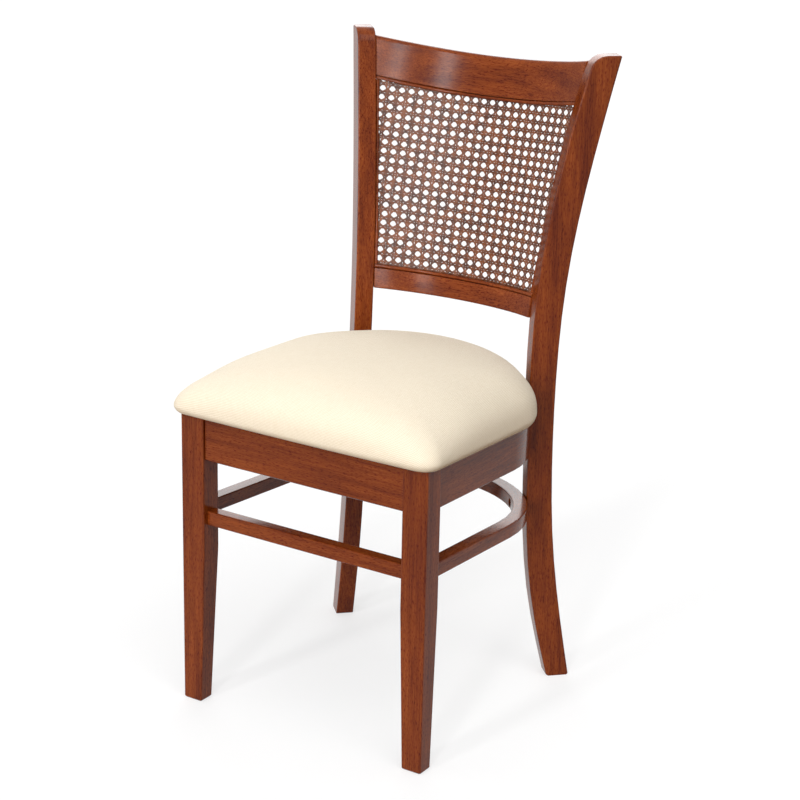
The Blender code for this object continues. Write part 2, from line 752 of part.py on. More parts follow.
def crest_section():
    """Crest rail: rebated along its lower front edge for the cane, rounded on top."""
    radius = CREST_TOP_RADIUS
    loop = [
        (TOP_BEAD_LOW, REBATE_DEPTH), (CREST_BOTTOM_REACH, REBATE_DEPTH), (CREST_BOTTOM_REACH, 0),
        (CREST_TOP_REACH - radius, 0),
    ]
    for step in range(1, CORNER_STEPS + 1):
        angle = math.pi / 2 * step / CORNER_STEPS
        loop.append((CREST_TOP_REACH - radius + radius * math.sin(angle), radius - radius * math.cos(angle)))
    loop += [
        (CREST_TOP_REACH, CREST_THICKNESS - BACK_ARRIS), (CREST_TOP_REACH - BACK_ARRIS, CREST_THICKNESS),
        (TOP_BEAD_LOW + BACK_ARRIS, CREST_THICKNESS), (TOP_BEAD_LOW, CREST_THICKNESS - BACK_ARRIS),
    ]
    return loop


def lower_rail_section():
    """Lower back rail: rebated along its upper front edge, eased below."""
    low, thick = LOWER_RAIL_BOTTOM_REACH, LOWER_RAIL_THICKNESS
    return [
        (LOWER_BEAD_HIGH, REBATE_DEPTH), (LOWER_RAIL_TOP_REACH, REBATE_DEPTH), (LOWER_RAIL_TOP_REACH, 0),
        (low + BACK_ARRIS, 0), (low, BACK_ARRIS), (low, thick - BACK_ARRIS), (low + BACK_ARRIS, thick),
        (LOWER_BEAD_HIGH - BACK_ARRIS, thick), (LOWER_BEAD_HIGH, thick - BACK_ARRIS),
    ]


def back_tenon_section(loop):
    """Oval tenon in the thick of a rail, behind its rebate, with as many points as the rail."""
    reaches, depths = zip(*loop)
    front, back = REBATE_DEPTH + BACK_ARRIS, max(depths) - BACK_ARRIS
    middle = ((min(reaches) + max(reaches)) / 2, (front + back) / 2)
    half = ((max(reaches) - min(reaches)) / 2 * BACK_TENON_SHARE, (back - front) / 2)
    tenon = []
    for reach, depth in loop:
        angle = math.atan2(depth - (min(depths) + max(depths)) / 2, reach - middle[0])
        spread = abs(math.cos(angle)) ** TENON_SQUARENESS + abs(math.sin(angle)) ** TENON_SQUARENESS
        stretch = spread ** (-1 / TENON_SQUARENESS)
        tenon.append((middle[0] + half[0] * stretch * math.cos(angle),
                      middle[1] + half[1] * stretch * math.sin(angle)))
    return tenon


# Cane panel and beads


def panel_point(share_across, share_up, depth, gap):
    """Point of the cane panel from shares of its width and height."""
    low = LOWER_RAIL_TOP_REACH + FIT_GAP
    high = crest_line(CREST_BOTTOM_REACH - FIT_GAP)

    def line(across):
        return low + (high(across) - low) * share_up

    edge = back_edge(line, depth, gap)
    across = edge * (2 * share_across - 1)
    return back_point(across, line(across), depth)


def cane_net():
    """Cane as a curved sheet pierced by rows of eight-sided openings."""
    front, back = CANE_DEPTH, CANE_DEPTH + CANE_THICKNESS
    gap = FIT_GAP - CANE_KERF_DEPTH
    points = []
    index_of = {}

    def vertex(column, row, layer):
        key = (round(column, 6), round(row, 6), layer)
        if key not in index_of:
            index_of[key] = len(points)
            depth = (front, back)[layer]
            points.append(Vector(panel_point(across_share(column), up_share(row), depth, gap)))
        return index_of[key]

    faces = []
    hole, corner = CANE_HOLE_SHARE / 2, CANE_CORNER_SHARE / 2
    ring = ((-corner, -hole), (corner, -hole), (hole, -corner), (hole, corner),
            (corner, hole), (-corner, hole), (-hole, corner), (-hole, -corner))
    square = ((-0.5, -0.5), (0.5, -0.5), (0.5, 0.5), (-0.5, 0.5))
    for column in range(CANE_COLUMNS):
        for row in range(CANE_ROWS):
            middle = (column + 0.5, row + 0.5)
            for layer in (0, 1):
                hole_ring = [vertex(middle[0] + u, middle[1] + v, layer) for u, v in ring]
                outer = [vertex(middle[0] + u, middle[1] + v, layer) for u, v in square]
                for turn in range(4):
                    after = (turn + 1) % 4
                    faces.append((outer[turn], outer[after], hole_ring[2 * turn + 1], hole_ring[2 * turn]))
                    faces.append((outer[after], hole_ring[(2 * turn + 2) % 8], hole_ring[2 * turn + 1]))
            for turn in range(8):
                pair = (ring[turn], ring[(turn + 1) % 8])
                rim = [[vertex(middle[0] + u, middle[1] + v, layer) for u, v in pair] for layer in (0, 1)]
                faces.append((rim[0][0], rim[0][1], rim[1][1], rim[1][0]))
    border_faces(faces, vertex)
    return points, faces


def across_share(column):
    """Share of the panel's width at a column line, leaving a plain border at each side."""
    border = CANE_SIDE_BORDER_SHARE
    return float(np.clip((column + border) / (CANE_COLUMNS + 2 * border), 0, 1))


def up_share(row):
    """Share of the panel's height at a row line, leaving a plain border above and below."""
    border = CANE_END_BORDER_SHARE
    return float(np.clip((row + border) / (CANE_ROWS + 2 * border), 0, 1))


def border_faces(faces, vertex):
    """Plain border of the cane sheet and its outer edge."""
    columns = [-1, *range(CANE_COLUMNS + 1), CANE_COLUMNS + 1]
    rows = [-1, *range(CANE_ROWS + 1), CANE_ROWS + 1]
    for i, (left, right) in enumerate(zip(columns, columns[1:])):
        for j, (low, high) in enumerate(zip(rows, rows[1:])):
            on_border = i in (0, len(columns) - 2) or j in (0, len(rows) - 2)
            if on_border:
                for layer in (0, 1):
                    faces.append(tuple(vertex(*spot, layer) for spot in (
                        (left, low), (right, low), (right, high), (left, high))))
    rim = [(column, rows[0]) for column in columns[:-1]] + [(columns[-1], row) for row in rows[:-1]]
    rim += [(column, rows[-1]) for column in reversed(columns[1:])]
    rim += [(columns[0], row) for row in reversed(rows[1:])]
    for here, after in zip(rim, rim[1:] + rim[:1]):
        faces.append((vertex(*here, 0), vertex(*after, 0), vertex(*after, 1), vertex(*here, 1)))


def bead_section(low, high):
    """Bead section of (reach or width, depth), rounded at the front."""
    eases = ((BEAD_ROUND, 1), (BEAD_ROUND, 1), (FIT_GAP, 1), (FIT_GAP, 1))
    return eased_rectangle((low, -BEAD_PROUD), (high, BEAD_DEPTH - BEAD_PROUD), eases)


def cross_bead(low, high, line):
    """Bead running across the back from post to post."""
    loop = bead_section(low, high)
    edges = [back_edge(line(reach), depth, FIT_GAP) for reach, depth in loop]
    rings = []
    for bay in range(BACK_BAYS + 1):
        share = 2 * bay / BACK_BAYS - 1
        rings.append([
            back_point(edge * share, line(reach)(edge * share), depth)
            for (reach, depth), edge in zip(loop, edges)
        ])
    return loft(rings)


def side_bead():
    """Bead up the right post's inner face between the two cross beads."""
    loop = bead_section(0, BEAD_WIDTH)
    low = LOWER_BEAD_HIGH + FIT_GAP
    high = crest_line(TOP_BEAD_LOW - FIT_GAP)
    rings = []
    for bay in range(SIDE_BEAD_BAYS + 1):
        ring = []
        for inwards, depth in loop:
            def line(across):
                return low + (high(across) - low) * bay / SIDE_BEAD_BAYS
            edge = back_edge(line, depth, FIT_GAP) - inwards
            ring.append(back_point(edge, line(edge), depth))
        rings.append(ring)
    return loft(rings)


def cane_kerf():
    """Saw kerf up the right post's inner face that takes the cane's side edge."""
    low = LOWER_RAIL_TOP_REACH
    high = crest_line(CREST_BOTTOM_REACH)
    rings = []
    for bay in range(KERF_BAYS + 1):
        def line(across):
            return low + (high(across) - low) * bay / KERF_BAYS
        ring = []
        for depth, gap in ((CANE_DEPTH - CANE_GAP, CUT_MARGIN), (CANE_DEPTH - CANE_GAP, -CANE_KERF_DEPTH),
                           (REBATE_DEPTH, -CANE_KERF_DEPTH), (REBATE_DEPTH, CUT_MARGIN)):
            edge = back_edge(line, depth, gap)
            ring.append(back_point(edge, line(edge), depth))
        rings.append(ring)
    return loft(rings)


# Seat


def smooth_share(value):
    """Ease from 0 to 1."""
    value = min(1, max(0, value))
    return value * value * (3 - 2 * value)


def cushion_outline():
    """Widest line of the cushion: (x, y, outward normal angle) all the way round."""
    toe = math.atan(SEAT_PLAN_TOE_IN_SHARE)
    half = []
    for x, y, angle in hoop_plan(SEAT_PLAN, 0, CUSHION_FRONT + CUSHION_CORNER_RADIUS):
        share = smooth_share((angle - toe) / (math.pi / 4 - toe))
        out = CUSHION_OVERHANG - (CUSHION_OVERHANG + CUSHION_POST_GAP) * share
        half.append((x + out * math.cos(angle), y + out * math.sin(angle) * (angle > toe), angle))
    side_x, corner_y, _ = half[0]
    centre = (side_x - CUSHION_CORNER_RADIUS, corner_y)
    front = []
    for step in range(1, CUSHION_EDGE_STEPS + 1):
        x = centre[0] * step / CUSHION_EDGE_STEPS
        bow = CUSHION_BOW * (1 - (x / centre[0]) ** 2)
        front.append((x, CUSHION_FRONT - bow, -math.pi / 2))
    corner = []
    for step in range(1, CUSHION_EDGE_STEPS + 1):
        angle = -math.pi / 2 + (toe + math.pi / 2) * step / (CUSHION_EDGE_STEPS + 1)
        corner.append((centre[0] + CUSHION_CORNER_RADIUS * math.cos(angle),
                       centre[1] + CUSHION_CORNER_RADIUS * math.sin(angle), angle))
    half = [(0, CUSHION_FRONT - CUSHION_BOW, -math.pi / 2)] + front + corner + half
    return half + [(-x, y, math.pi - angle) for x, y, angle in reversed(half[1:-1])]


def crown_round(x, y, outline):
    """Point of the round crown line in the same direction from the crown as an outline point."""
    back = y - CUSHION_CROWN_SETBACK
    half_width = max(px for px, _, _ in outline)
    half_depth = max(math.copysign(1, back) * (py - CUSHION_CROWN_SETBACK) for _, py, _ in outline)
    stretch = 1 / math.hypot(x / half_width, back / half_depth)
    return x * stretch, back * stretch


def corner_softness(x, y, outline):
    """1 at a front corner of the cushion, easing to 0 along its edges."""
    side_x = max(px for px, _, _ in outline)
    distance = math.hypot(abs(x) - side_x, y - CUSHION_FRONT)
    return smooth_share(1 - distance / CUSHION_CORNER_REACH)


def cushion():
    """Domed cushion whose cover turns under the board's edge, open below for the board."""
    outline = cushion_outline()
    lip = [(x - CUSHION_LIP * math.cos(angle), y - CUSHION_LIP * math.sin(angle)) for x, y, angle in outline]
    rings = []

    def bulge_height(y):
        return CUSHION_BULGE_HEIGHT + CUSHION_BULGE_RISE_SHARE * (y - CUSHION_FRONT)

    def drawn(inset, rise_share):
        ring = []
        for x, y, angle in outline:
            px, py = x - inset * math.cos(angle), y - inset * math.sin(angle)
            ring.append((px, py, seat_plane(py) + FIT_GAP + bulge_height(y) * rise_share))
        rings.append(ring)

    board_bottom = CUSHION_LIP_THICKNESS
    board = board_outline(-FIT_GAP)
    ceiling = board_bottom + BOARD_THICKNESS + 2 * FIT_GAP
    for loop, height in ((board, ceiling), (board, board_bottom)):
        rings.append([(x, y, seat_plane(y) + FIT_GAP + height) for x, y in loop])
    for height in (board_bottom, 0):
        rings.append([(x, y, seat_plane(y) + FIT_GAP + height) for x, y in lip])
    tuck_inset_share, tuck_rise_share = CUSHION_TUCK_SHARES
    drawn(CUSHION_DRAW_IN, 0)
    drawn(CUSHION_DRAW_IN * tuck_inset_share, tuck_rise_share)
    drawn(0, 1)
    for share in CUSHION_RING_SHARES:
        crown_share = smooth_share(1 - share)
        ring = []
        for x, y, _ in outline:
            round_x, round_y = crown_round(x, y, outline)
            reach_x = x + (round_x - x) * crown_share
            reach_y = y - CUSHION_CROWN_SETBACK
            reach_y += (round_y - reach_y) * crown_share
            px, py = reach_x * share, CUSHION_CROWN_SETBACK + reach_y * share
            base = bulge_height(y) * share + bulge_height(CUSHION_CROWN_SETBACK) * (1 - share)
            crown = CUSHION_CROWN + CUSHION_REAR_LIFT_SHARE * (py - CUSHION_CROWN_SETBACK)
            edge_power = CUSHION_EDGE_POWER - CUSHION_CORNER_SOFTENING * corner_softness(x, y, outline)
            dome = (1 - share ** CUSHION_DOME_POWER) ** (1 / edge_power)
            ring.append((px, py, seat_plane(py) + FIT_GAP + base + crown * dome))
        rings.append(ring)
    return loft(rings)


def board_outline(inset):
    """Plan of the seat board, just inside the cushion's drawn-in foot."""
    reach = CUSHION_DRAW_IN + BOARD_INSET + inset
    return [(x - reach * math.cos(angle), y - reach * math.sin(angle)) for x, y, angle in cushion_outline()]


def slab(loop, bottom, thickness):
    """Flat sheet lying on the seat plane."""
    layers = (bottom, bottom + thickness)
    return loft([[(x, y, seat_plane(y) + height) for x, y in loop] for height in layers])


BOARD_BOTTOM = CUSHION_LIP_THICKNESS + 2 * FIT_GAP


def dust_cover():
    """Thin cloth under the board, inside the turned-under edge of the cushion."""
    reach = CUSHION_LIP + DUST_COVER_GAP
    loop = [(x - reach * math.cos(angle), y - reach * math.sin(angle)) for x, y, angle in cushion_outline()]
    return slab(loop, BOARD_BOTTOM - FIT_GAP - DUST_COVER_THICKNESS, DUST_COVER_THICKNESS)


BLOCK_BOTTOM = -BLOCK_DROP - BLOCK_HEIGHT


def front_block():
    """Corner block notched round the right front leg, glued to rail and hoop."""
    rail = FRONT_RAIL_SETBACK + FRONT_RAIL_THICKNESS + FIT_GAP
    leg_x, leg_y = LEG_INNER - FIT_GAP, LEG_DEPTH + FIT_GAP
    reach = FRONT_BLOCK_REACH
    near = hoop_plan(SEAT_PLAN, SEAT_HOOP_THICKNESS + FIT_GAP, leg_y)[0][0]
    far_y = leg_y + reach * FRONT_BLOCK_DEPTH_SHARE
    far = near - SEAT_PLAN_TOE_IN_SHARE * (far_y - leg_y)
    loop = [(leg_x, rail), (leg_x, leg_y), (near, leg_y), (far, far_y),
            (leg_x - reach * FRONT_BLOCK_NOSE_SHARE, far_y), (leg_x - reach, leg_y), (leg_x - reach, rail)]
    return slab(loop, BLOCK_BOTTOM, BLOCK_HEIGHT)


def rear_block_plan():
    """Plan of the right rear block, fitted to the hoop's inner curve, and its screw's spot."""
    arc = hoop_plan(SEAT_PLAN, SEAT_HOOP_THICKNESS + FIT_GAP, LEG_DEPTH)[REAR_BLOCK_STATIONS]

    def inward(station, distance):
        x, y, angle = station
        return (x - distance * math.cos(angle), y - distance * math.sin(angle))

    curve = [inward(station, 0) for station in arc]
    chord = [inward(station, REAR_BLOCK_DEPTH) for station in (arc[-1], arc[0])]
    spots = [inward(station, REAR_BLOCK_DEPTH / 2) for station in arc]
    return curve + chord, (float(np.mean([x for x, _ in spots])), float(np.mean([y for _, y in spots])))


def seat_screw_spots():
    """Where the right-hand seat screws stand: (name, x, y)."""
    front = (LEG_INNER - FRONT_BLOCK_REACH * FRONT_BLOCK_NOSE_SHARE,
             LEG_DEPTH + FRONT_BLOCK_REACH * FRONT_SCREW_BACK_SHARE)
    _, rear = rear_block_plan()
    return (("front", *front), ("rear", *rear))


def upright_axis(x, y):
    """Point function for a screw standing on the seat plane."""
    return lambda up, across, along: (x + across, y + along, seat_plane(y) + up)


def seat_screw(x, y):
    """Countersunk screw up through a block into the board."""
    head = BLOCK_BOTTOM + BOARD_SCREW_SINK
    tip = BOARD_BOTTOM + BOARD_SCREW_BITE
    stations = (
        (head - BOARD_SCREW_HEAD_HEIGHT, BOARD_SCREW_HEAD_RADIUS), (head, BOARD_SCREW_SHANK_RADIUS),
        (tip - BOARD_SCREW_HEAD_HEIGHT, BOARD_SCREW_SHANK_RADIUS),
        (tip, BOARD_SCREW_SHANK_RADIUS * SCREW_TIP_SHARE),
    )
    return turned(stations, upright_axis(x, y), ROUND_FACETS)


def seat_bore(x, y):
    """Sunk hole through a block, the dust cover and into the board."""
    head = BLOCK_BOTTOM + BOARD_SCREW_SINK
    wide = BOARD_SCREW_HEAD_RADIUS + BORE_CLEARANCE
    pilot = BOARD_SCREW_SHANK_RADIUS + BORE_CLEARANCE
    stations = (
        (BLOCK_BOTTOM - CUT_MARGIN, wide), (head - BOARD_SCREW_HEAD_HEIGHT, wide), (head, pilot),
        (BOARD_BOTTOM + BOARD_SCREW_BITE + DEPTH_GAP, pilot),
    )
    return turned(stations, upright_axis(x, y), BORE_FACETS)


def build_front():
    """Front legs, front seat rail and front stretcher."""
    rail_section = eased_bar(FRONT_RAIL_THICKNESS, FRONT_RAIL_HEIGHT, WOOD_ARRIS)
    stretcher_section = eased_bar(FRONT_STRETCHER_THICKNESS, FRONT_STRETCHER_HEIGHT, STRETCHER_ARRIS)
    pockets = merge(
        mortise(0, RAIL_TENON_LENGTH + DEPTH_GAP, FRONT_RAIL_TENON, entering_leg(on_front_rail)),
        mortise(0, STRETCHER_TENON_LENGTH + DEPTH_GAP, STRETCHER_TENON, entering_leg(on_front_stretcher)),
        hoop_mortise(SEAT_PLAN, SEAT_HOOP_TOP, SEAT_HOOP_HEIGHT, SEAT_HOOP_THICKNESS, SEAT_HOOP_TENON,
                     HOOP_TENON_LENGTH),
        hoop_mortise(STRETCHER_PLAN, STRETCHER_HOOP_TOP, STRETCHER_HOOP_HEIGHT, STRETCHER_HOOP_THICKNESS,
                     STRETCHER_TENON, STRETCHER_HOOP_TENON_LENGTH),
    )
    for side, label in SIDES:
        leg = place("front_leg_" + label, mirrored(front_leg(), side), STAINED_BEECH)
        cut(leg, mirrored(pockets, side))
    rail = tenoned_bar(LEG_INNER, rail_section, FRONT_RAIL_TENON, RAIL_TENON_LENGTH, on_front_rail)
    place("front_seat_rail", rail, STAINED_BEECH)
    stretcher = tenoned_bar(LEG_INNER, stretcher_section, STRETCHER_TENON, STRETCHER_TENON_LENGTH,
                            on_front_stretcher)
    place("front_stretcher", stretcher, STAINED_BEECH)


def hoop_screw_heights():
    """Heights of the screws in the seat hoop, and of the one in the stretcher hoop."""
    post_y = post_point(post_front(FRAME_TOP), 0, FRAME_TOP)[1]
    seat_middle = SEAT_HOOP_TOP - hoop_drop(post_y) - SEAT_HOOP_HEIGHT / 2
    stretcher_middle = STRETCHER_HOOP_TOP - hoop_drop(post_y) - STRETCHER_HOOP_HEIGHT / 2
    half = SEAT_SCREW_SPACING / 2
    return (("seat_hoop_screw_upper", seat_middle + half, SEAT_PLAN, SEAT_HOOP_THICKNESS),
            ("seat_hoop_screw_lower", seat_middle - half, SEAT_PLAN, SEAT_HOOP_THICKNESS),
            ("stretcher_hoop_screw", stretcher_middle, STRETCHER_PLAN, STRETCHER_HOOP_THICKNESS))


def build_hoops_and_posts():
    """Both bentwood hoops, the rear posts and the screws that join them."""
    screws = hoop_screw_heights()
    seat_bores = merge(*(hoop_bore(*screw) for _, *screw in screws[:2]))
    stretcher_bores = merge(*(hoop_bore(*screw) for _, *screw in screws[2:]))
    hoops = (
        ("seat_hoop", (SEAT_PLAN, SEAT_HOOP_TOP, SEAT_HOOP_HEIGHT, SEAT_HOOP_THICKNESS, WOOD_ARRIS,
                       SEAT_HOOP_TENON, HOOP_TENON_LENGTH), seat_bores),
        ("stretcher_hoop", (STRETCHER_PLAN, STRETCHER_HOOP_TOP, STRETCHER_HOOP_HEIGHT,
                            STRETCHER_HOOP_THICKNESS, STRETCHER_ARRIS, STRETCHER_TENON,
                            STRETCHER_HOOP_TENON_LENGTH), stretcher_bores),
    )
    for name, sizes, bores in hoops:
        hoop = place(name, bent_hoop(*sizes), STAINED_BEECH)
        _, top, height, *_ = sizes
        flat = post_flat(top - height * 2, top + height / 2)
        for side, _ in SIDES:
            cut(hoop, mirrored(flat, side))
            cut(hoop, mirrored(bores, side))
    for side, label in SIDES:
        post = place("rear_post_" + label, mirrored(rear_post(), side), STAINED_BEECH)
        cut(post, mirrored(merge(seat_bores, stretcher_bores), side))
        sockets = merge(back_mortise(CREST_TENON, crest_line), back_mortise(LOWER_RAIL_TENON, level_line))
        cut(post, mirrored(sockets, side))
        cut(post, mirrored(cane_kerf(), side))
        for name, *screw in screws:
            place(name + "_" + label, mirrored(hoop_screw(*screw), side), DARK_STEEL)


def build_back():
    """Crest rail, lower back rail, cane panel and its four beads."""
    place("crest_rail", back_rail(crest_section(), crest_line, CREST_TENON), STAINED_BEECH)
    place("lower_back_rail", back_rail(lower_rail_section(), level_line, LOWER_RAIL_TENON), STAINED_BEECH)
    place("cane_panel", cane_net(), CANE)
    top = cross_bead(TOP_BEAD_LOW, TOP_BEAD_LOW + BEAD_WIDTH, crest_line)
    bottom = cross_bead(LOWER_BEAD_HIGH - BEAD_WIDTH, LOWER_BEAD_HIGH, level_line)
    place("cane_bead_top", top, BEAD_WOOD)
    place("cane_bead_bottom", bottom, BEAD_WOOD)
    for side, label in SIDES:
        place("cane_bead_" + label, mirrored(side_bead(), side), BEAD_WOOD)


def build_seat():
    """Corner blocks, board, dust cover, cushion and seat screws."""
    spots = seat_screw_spots()
    bores = merge(*(mirrored(seat_bore(x, y), side) for _, x, y in spots for side, _ in SIDES))
    board = place("seat_board", slab(board_outline(0), BOARD_BOTTOM, BOARD_THICKNESS), PLYWOOD)
    cut(board, bores)
    cover = place("dust_cover", dust_cover(), DUST_CLOTH)
    cut(cover, bores)
    place("seat_cushion", cushion(), UPHOLSTERY, math.radians(60.0))
    rear_plan, _ = rear_block_plan()
    for side, label in SIDES:
        blocks = (("front", front_block()), ("rear", slab(rear_plan, BLOCK_BOTTOM, BLOCK_HEIGHT)))
        for (end, x, y), (_, shape) in zip(spots, blocks):
            block = place(end + "_corner_block_" + label, mirrored(shape, side), RAW_BEECH)
            cut(block, mirrored(seat_bore(x, y), side))
            place(end + "_seat_screw_" + label, mirrored(seat_screw(x, y), side), STEEL)


def centre_on_floor():
    """Move the chair so that its footprint is centred on the origin."""
    bpy.context.view_layer.update()
    depths = []
    for piece in bpy.data.objects:
        if piece.type == "MESH" and not piece.hide_render:
            depths += [corner[1] for corner in piece.bound_box]
    CHAIR.location.y = -(min(depths) + max(depths)) / 2


CREST_TENON = back_tenon_section(crest_section())
LOWER_RAIL_TENON = back_tenon_section(lower_rail_section())

for leftover in list(bpy.data.objects):
    bpy.data.objects.remove(leftover, do_unlink=True)

CHAIR = bpy.data.objects.new("side_chair", None)
bpy.context.scene.collection.objects.link(CHAIR)

STAINED_BEECH = finish("stained_beech", (0.216, 0.067, 0.026), 0.34)
BEAD_WOOD = finish("stained_bead", (0.180, 0.052, 0.020), 0.38)
CANE = finish("stained_cane", (0.060, 0.020, 0.010), 0.42)
UPHOLSTERY = finish("cream_upholstery", (0.870, 0.810, 0.700), 0.85)
PLYWOOD = finish("plywood", (0.600, 0.430, 0.260), 0.65)
RAW_BEECH = finish("raw_beech", (0.560, 0.370, 0.220), 0.60)
DUST_CLOTH = finish("dust_cloth", (0.030, 0.030, 0.032), 0.90)
DARK_STEEL = finish("dark_steel", (0.080, 0.075, 0.070), 0.45, 1.0)
STEEL = finish("zinc_steel", (0.560, 0.550, 0.520), 0.40, 1.0)
CUTTER_FINISH = finish("cutter", (0.8, 0.1, 0.1), 0.5)

build_front()
build_hoops_and_posts()
build_back()
build_seat()
centre_on_floor()
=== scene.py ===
"""Studio scene of an upholstered side chair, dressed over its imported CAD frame."""

import json
import logging
import math
from collections.abc import Iterable, Sequence
from dataclasses import dataclass, field
from enum import Enum

import bpy
import numpy as np
from bpy.types import Material, Mesh, Modifier, Node, NodeSocket, NodeTree, Object
from mathutils import Matrix, Vector

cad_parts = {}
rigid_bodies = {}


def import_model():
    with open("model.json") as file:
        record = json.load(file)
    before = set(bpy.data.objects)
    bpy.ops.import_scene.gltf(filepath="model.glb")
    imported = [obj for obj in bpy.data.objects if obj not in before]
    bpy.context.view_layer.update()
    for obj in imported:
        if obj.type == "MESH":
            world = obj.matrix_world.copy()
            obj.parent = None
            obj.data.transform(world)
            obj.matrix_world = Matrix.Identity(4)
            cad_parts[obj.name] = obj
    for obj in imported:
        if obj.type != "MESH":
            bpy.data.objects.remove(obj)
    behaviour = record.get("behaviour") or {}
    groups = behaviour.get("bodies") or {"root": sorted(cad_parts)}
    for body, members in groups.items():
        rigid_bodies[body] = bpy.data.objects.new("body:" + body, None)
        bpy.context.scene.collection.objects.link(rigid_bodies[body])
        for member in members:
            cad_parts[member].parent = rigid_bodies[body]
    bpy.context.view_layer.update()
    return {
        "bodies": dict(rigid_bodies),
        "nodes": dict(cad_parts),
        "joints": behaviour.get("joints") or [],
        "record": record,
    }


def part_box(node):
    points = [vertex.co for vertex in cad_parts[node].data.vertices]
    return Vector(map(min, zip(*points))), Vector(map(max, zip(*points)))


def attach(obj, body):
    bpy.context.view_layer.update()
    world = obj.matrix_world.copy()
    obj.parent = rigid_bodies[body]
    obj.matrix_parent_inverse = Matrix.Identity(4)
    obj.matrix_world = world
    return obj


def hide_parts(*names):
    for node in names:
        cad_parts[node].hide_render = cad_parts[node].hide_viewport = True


LOG = logging.getLogger("side_chair")
MM = 0.001
BODY = "root"
WHITE = "FFFFFF"
PlanPoint = tuple[float, float, float]

# The curve of the sRGB standard: a straight foot below the knee, a power above it.
SRGB_KNEE, SRGB_FOOT_SLOPE, SRGB_OFFSET, SRGB_POWER = 0.04045, 12.92, 0.055, 2.4

MATH = "ShaderNodeMath"
VECTOR_MATH = "ShaderNodeVectorMath"
RAMP = "ShaderNodeValToRGB"
MIX = "ShaderNodeMix"
# The mix node numbers its sockets by what it mixes: first input, second input and result.
MIX_SHARE = 0
COLOUR_A, COLOUR_B, COLOUR_OUT = 6, 7, 2
NUMBER_A, NUMBER_B, NUMBER_OUT = 2, 3, 0


def linear(hex_colour: str) -> tuple[float, float, float, float]:
    """Turn an sRGB hex colour into linear RGBA.

    Args:
        hex_colour: Six hex digits, such as "8A4526".

    Returns:
        Linear red, green, blue and an alpha of 1.
    """
    channels = [int(hex_colour[start:start + 2], 16) / 255 for start in (0, 2, 4)]
    red, green, blue = (
        channel / SRGB_FOOT_SLOPE if channel <= SRGB_KNEE
        else ((channel + SRGB_OFFSET) / (1 + SRGB_OFFSET)) ** SRGB_POWER
        for channel in channels
    )
    return red, green, blue, 1.0


def set_inputs(tree: NodeTree, node: Node, inputs: dict) -> None:
    """Give sockets of a node their values and links.

    Args:
        tree: Node tree that the node is in.
        node: The node.
        inputs: Socket name or number to a value, or to a node or an output socket to link.
    """
    for key, value in inputs.items():
        if isinstance(value, Node):
            value = value.outputs[0]
        if isinstance(value, NodeSocket):
            tree.links.new(value, node.inputs[key])
        else:
            node.inputs[key].default_value = value


def add_node(tree: NodeTree, kind: str, inputs: dict | None = None, **settings: object) -> Node:
    """Add a node with its settings, socket values and links.

    Args:
        tree: Node tree to add to.
        kind: Node type name, such as "ShaderNodeMath".
        inputs: Socket name or number to a value, or to a node or an output socket to link.
        **settings: Attributes of the node.

    Returns:
        The new node.
    """
    node = tree.nodes.new(kind)
    for name, value in settings.items():
        setattr(node, name, value)
    set_inputs(tree, node, inputs or {})
    return node


def set_stops(ramp: Node, stops: Sequence[tuple[float, str]]) -> None:
    """Give a colour ramp its stops.

    Args:
        ramp: Colour ramp node.
        stops: Positions with their hex colours, from low to high.
    """
    elements = ramp.color_ramp.elements
    while len(elements) < len(stops):
        elements.new(0.5)
    for element, (position, colour) in zip(elements, stops):
        element.position = position
        element.color = linear(colour)


def smooth_share(value: float) -> float:
    """Ease from 0 to 1."""
    value = min(1.0, max(0.0, value))
    return value * value * (3 - 2 * value)


def arc(centre: tuple[float, float], radius: float, start: float, end: float, steps: int) -> list[PlanPoint]:
    """Draw an arc in plan.

    Args:
        centre: Middle of the arc.
        radius: Its radius.
        start: Angle that it starts at.
        end: Angle that it ends short of, by one step.
        steps: Steps along it, one point for each.

    Returns:
        Points with the angle of their outward normal: (x, y, angle).
    """
    angles = [start + (end - start) * step / steps for step in range(steps)]
    return [(centre[0] + radius * math.cos(angle), centre[1] + radius * math.sin(angle), angle)
            for angle in angles]


def join_rings(first: int, second: int, count: int) -> list[tuple[int, ...]]:
    """Make the faces between two rings of vertices.

    Args:
        first: Number of the first vertex of one ring.
        second: Number of the first vertex of the other ring.
        count: Vertices in each ring.

    Returns:
        One four-sided face for each side of the rings.
    """
    return [(first + corner, first + (corner + 1) % count, second + (corner + 1) % count, second + corner)
            for corner in range(count)]


def add_piece(name: str, points: Iterable[Sequence[float]], faces: Iterable[Sequence[int]],
              surface: Material, replaced: Sequence[str] = ()) -> Object:
    """Make one smooth-shaded piece of the chair.

    Args:
        name: Piece name.
        points: Vertices in metres.
        faces: Vertex numbers of each face.
        surface: Material of the piece.
        replaced: CAD nodes that it stands for.

    Returns:
        The new object.
    """
    mesh = bpy.data.meshes.new(name)
    mesh.from_pydata([tuple(point) for point in points], [], list(faces))
    mesh.polygons.foreach_set("use_smooth", [True] * len(mesh.polygons))
    mesh.materials.append(surface)
    piece = bpy.data.objects.new(name, mesh)
    bpy.context.scene.collection.objects.link(piece)
    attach(piece, BODY)
    if replaced:
        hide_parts(*replaced)
    LOG.info("%s: %d faces", name, len(mesh.polygons))
    return piece


class GrainRun(Enum):
    """Which way the grain of a wooden piece runs."""

    UP = "up"
    ACROSS = "across"
    ALONG_HOOP = "along_hoop"


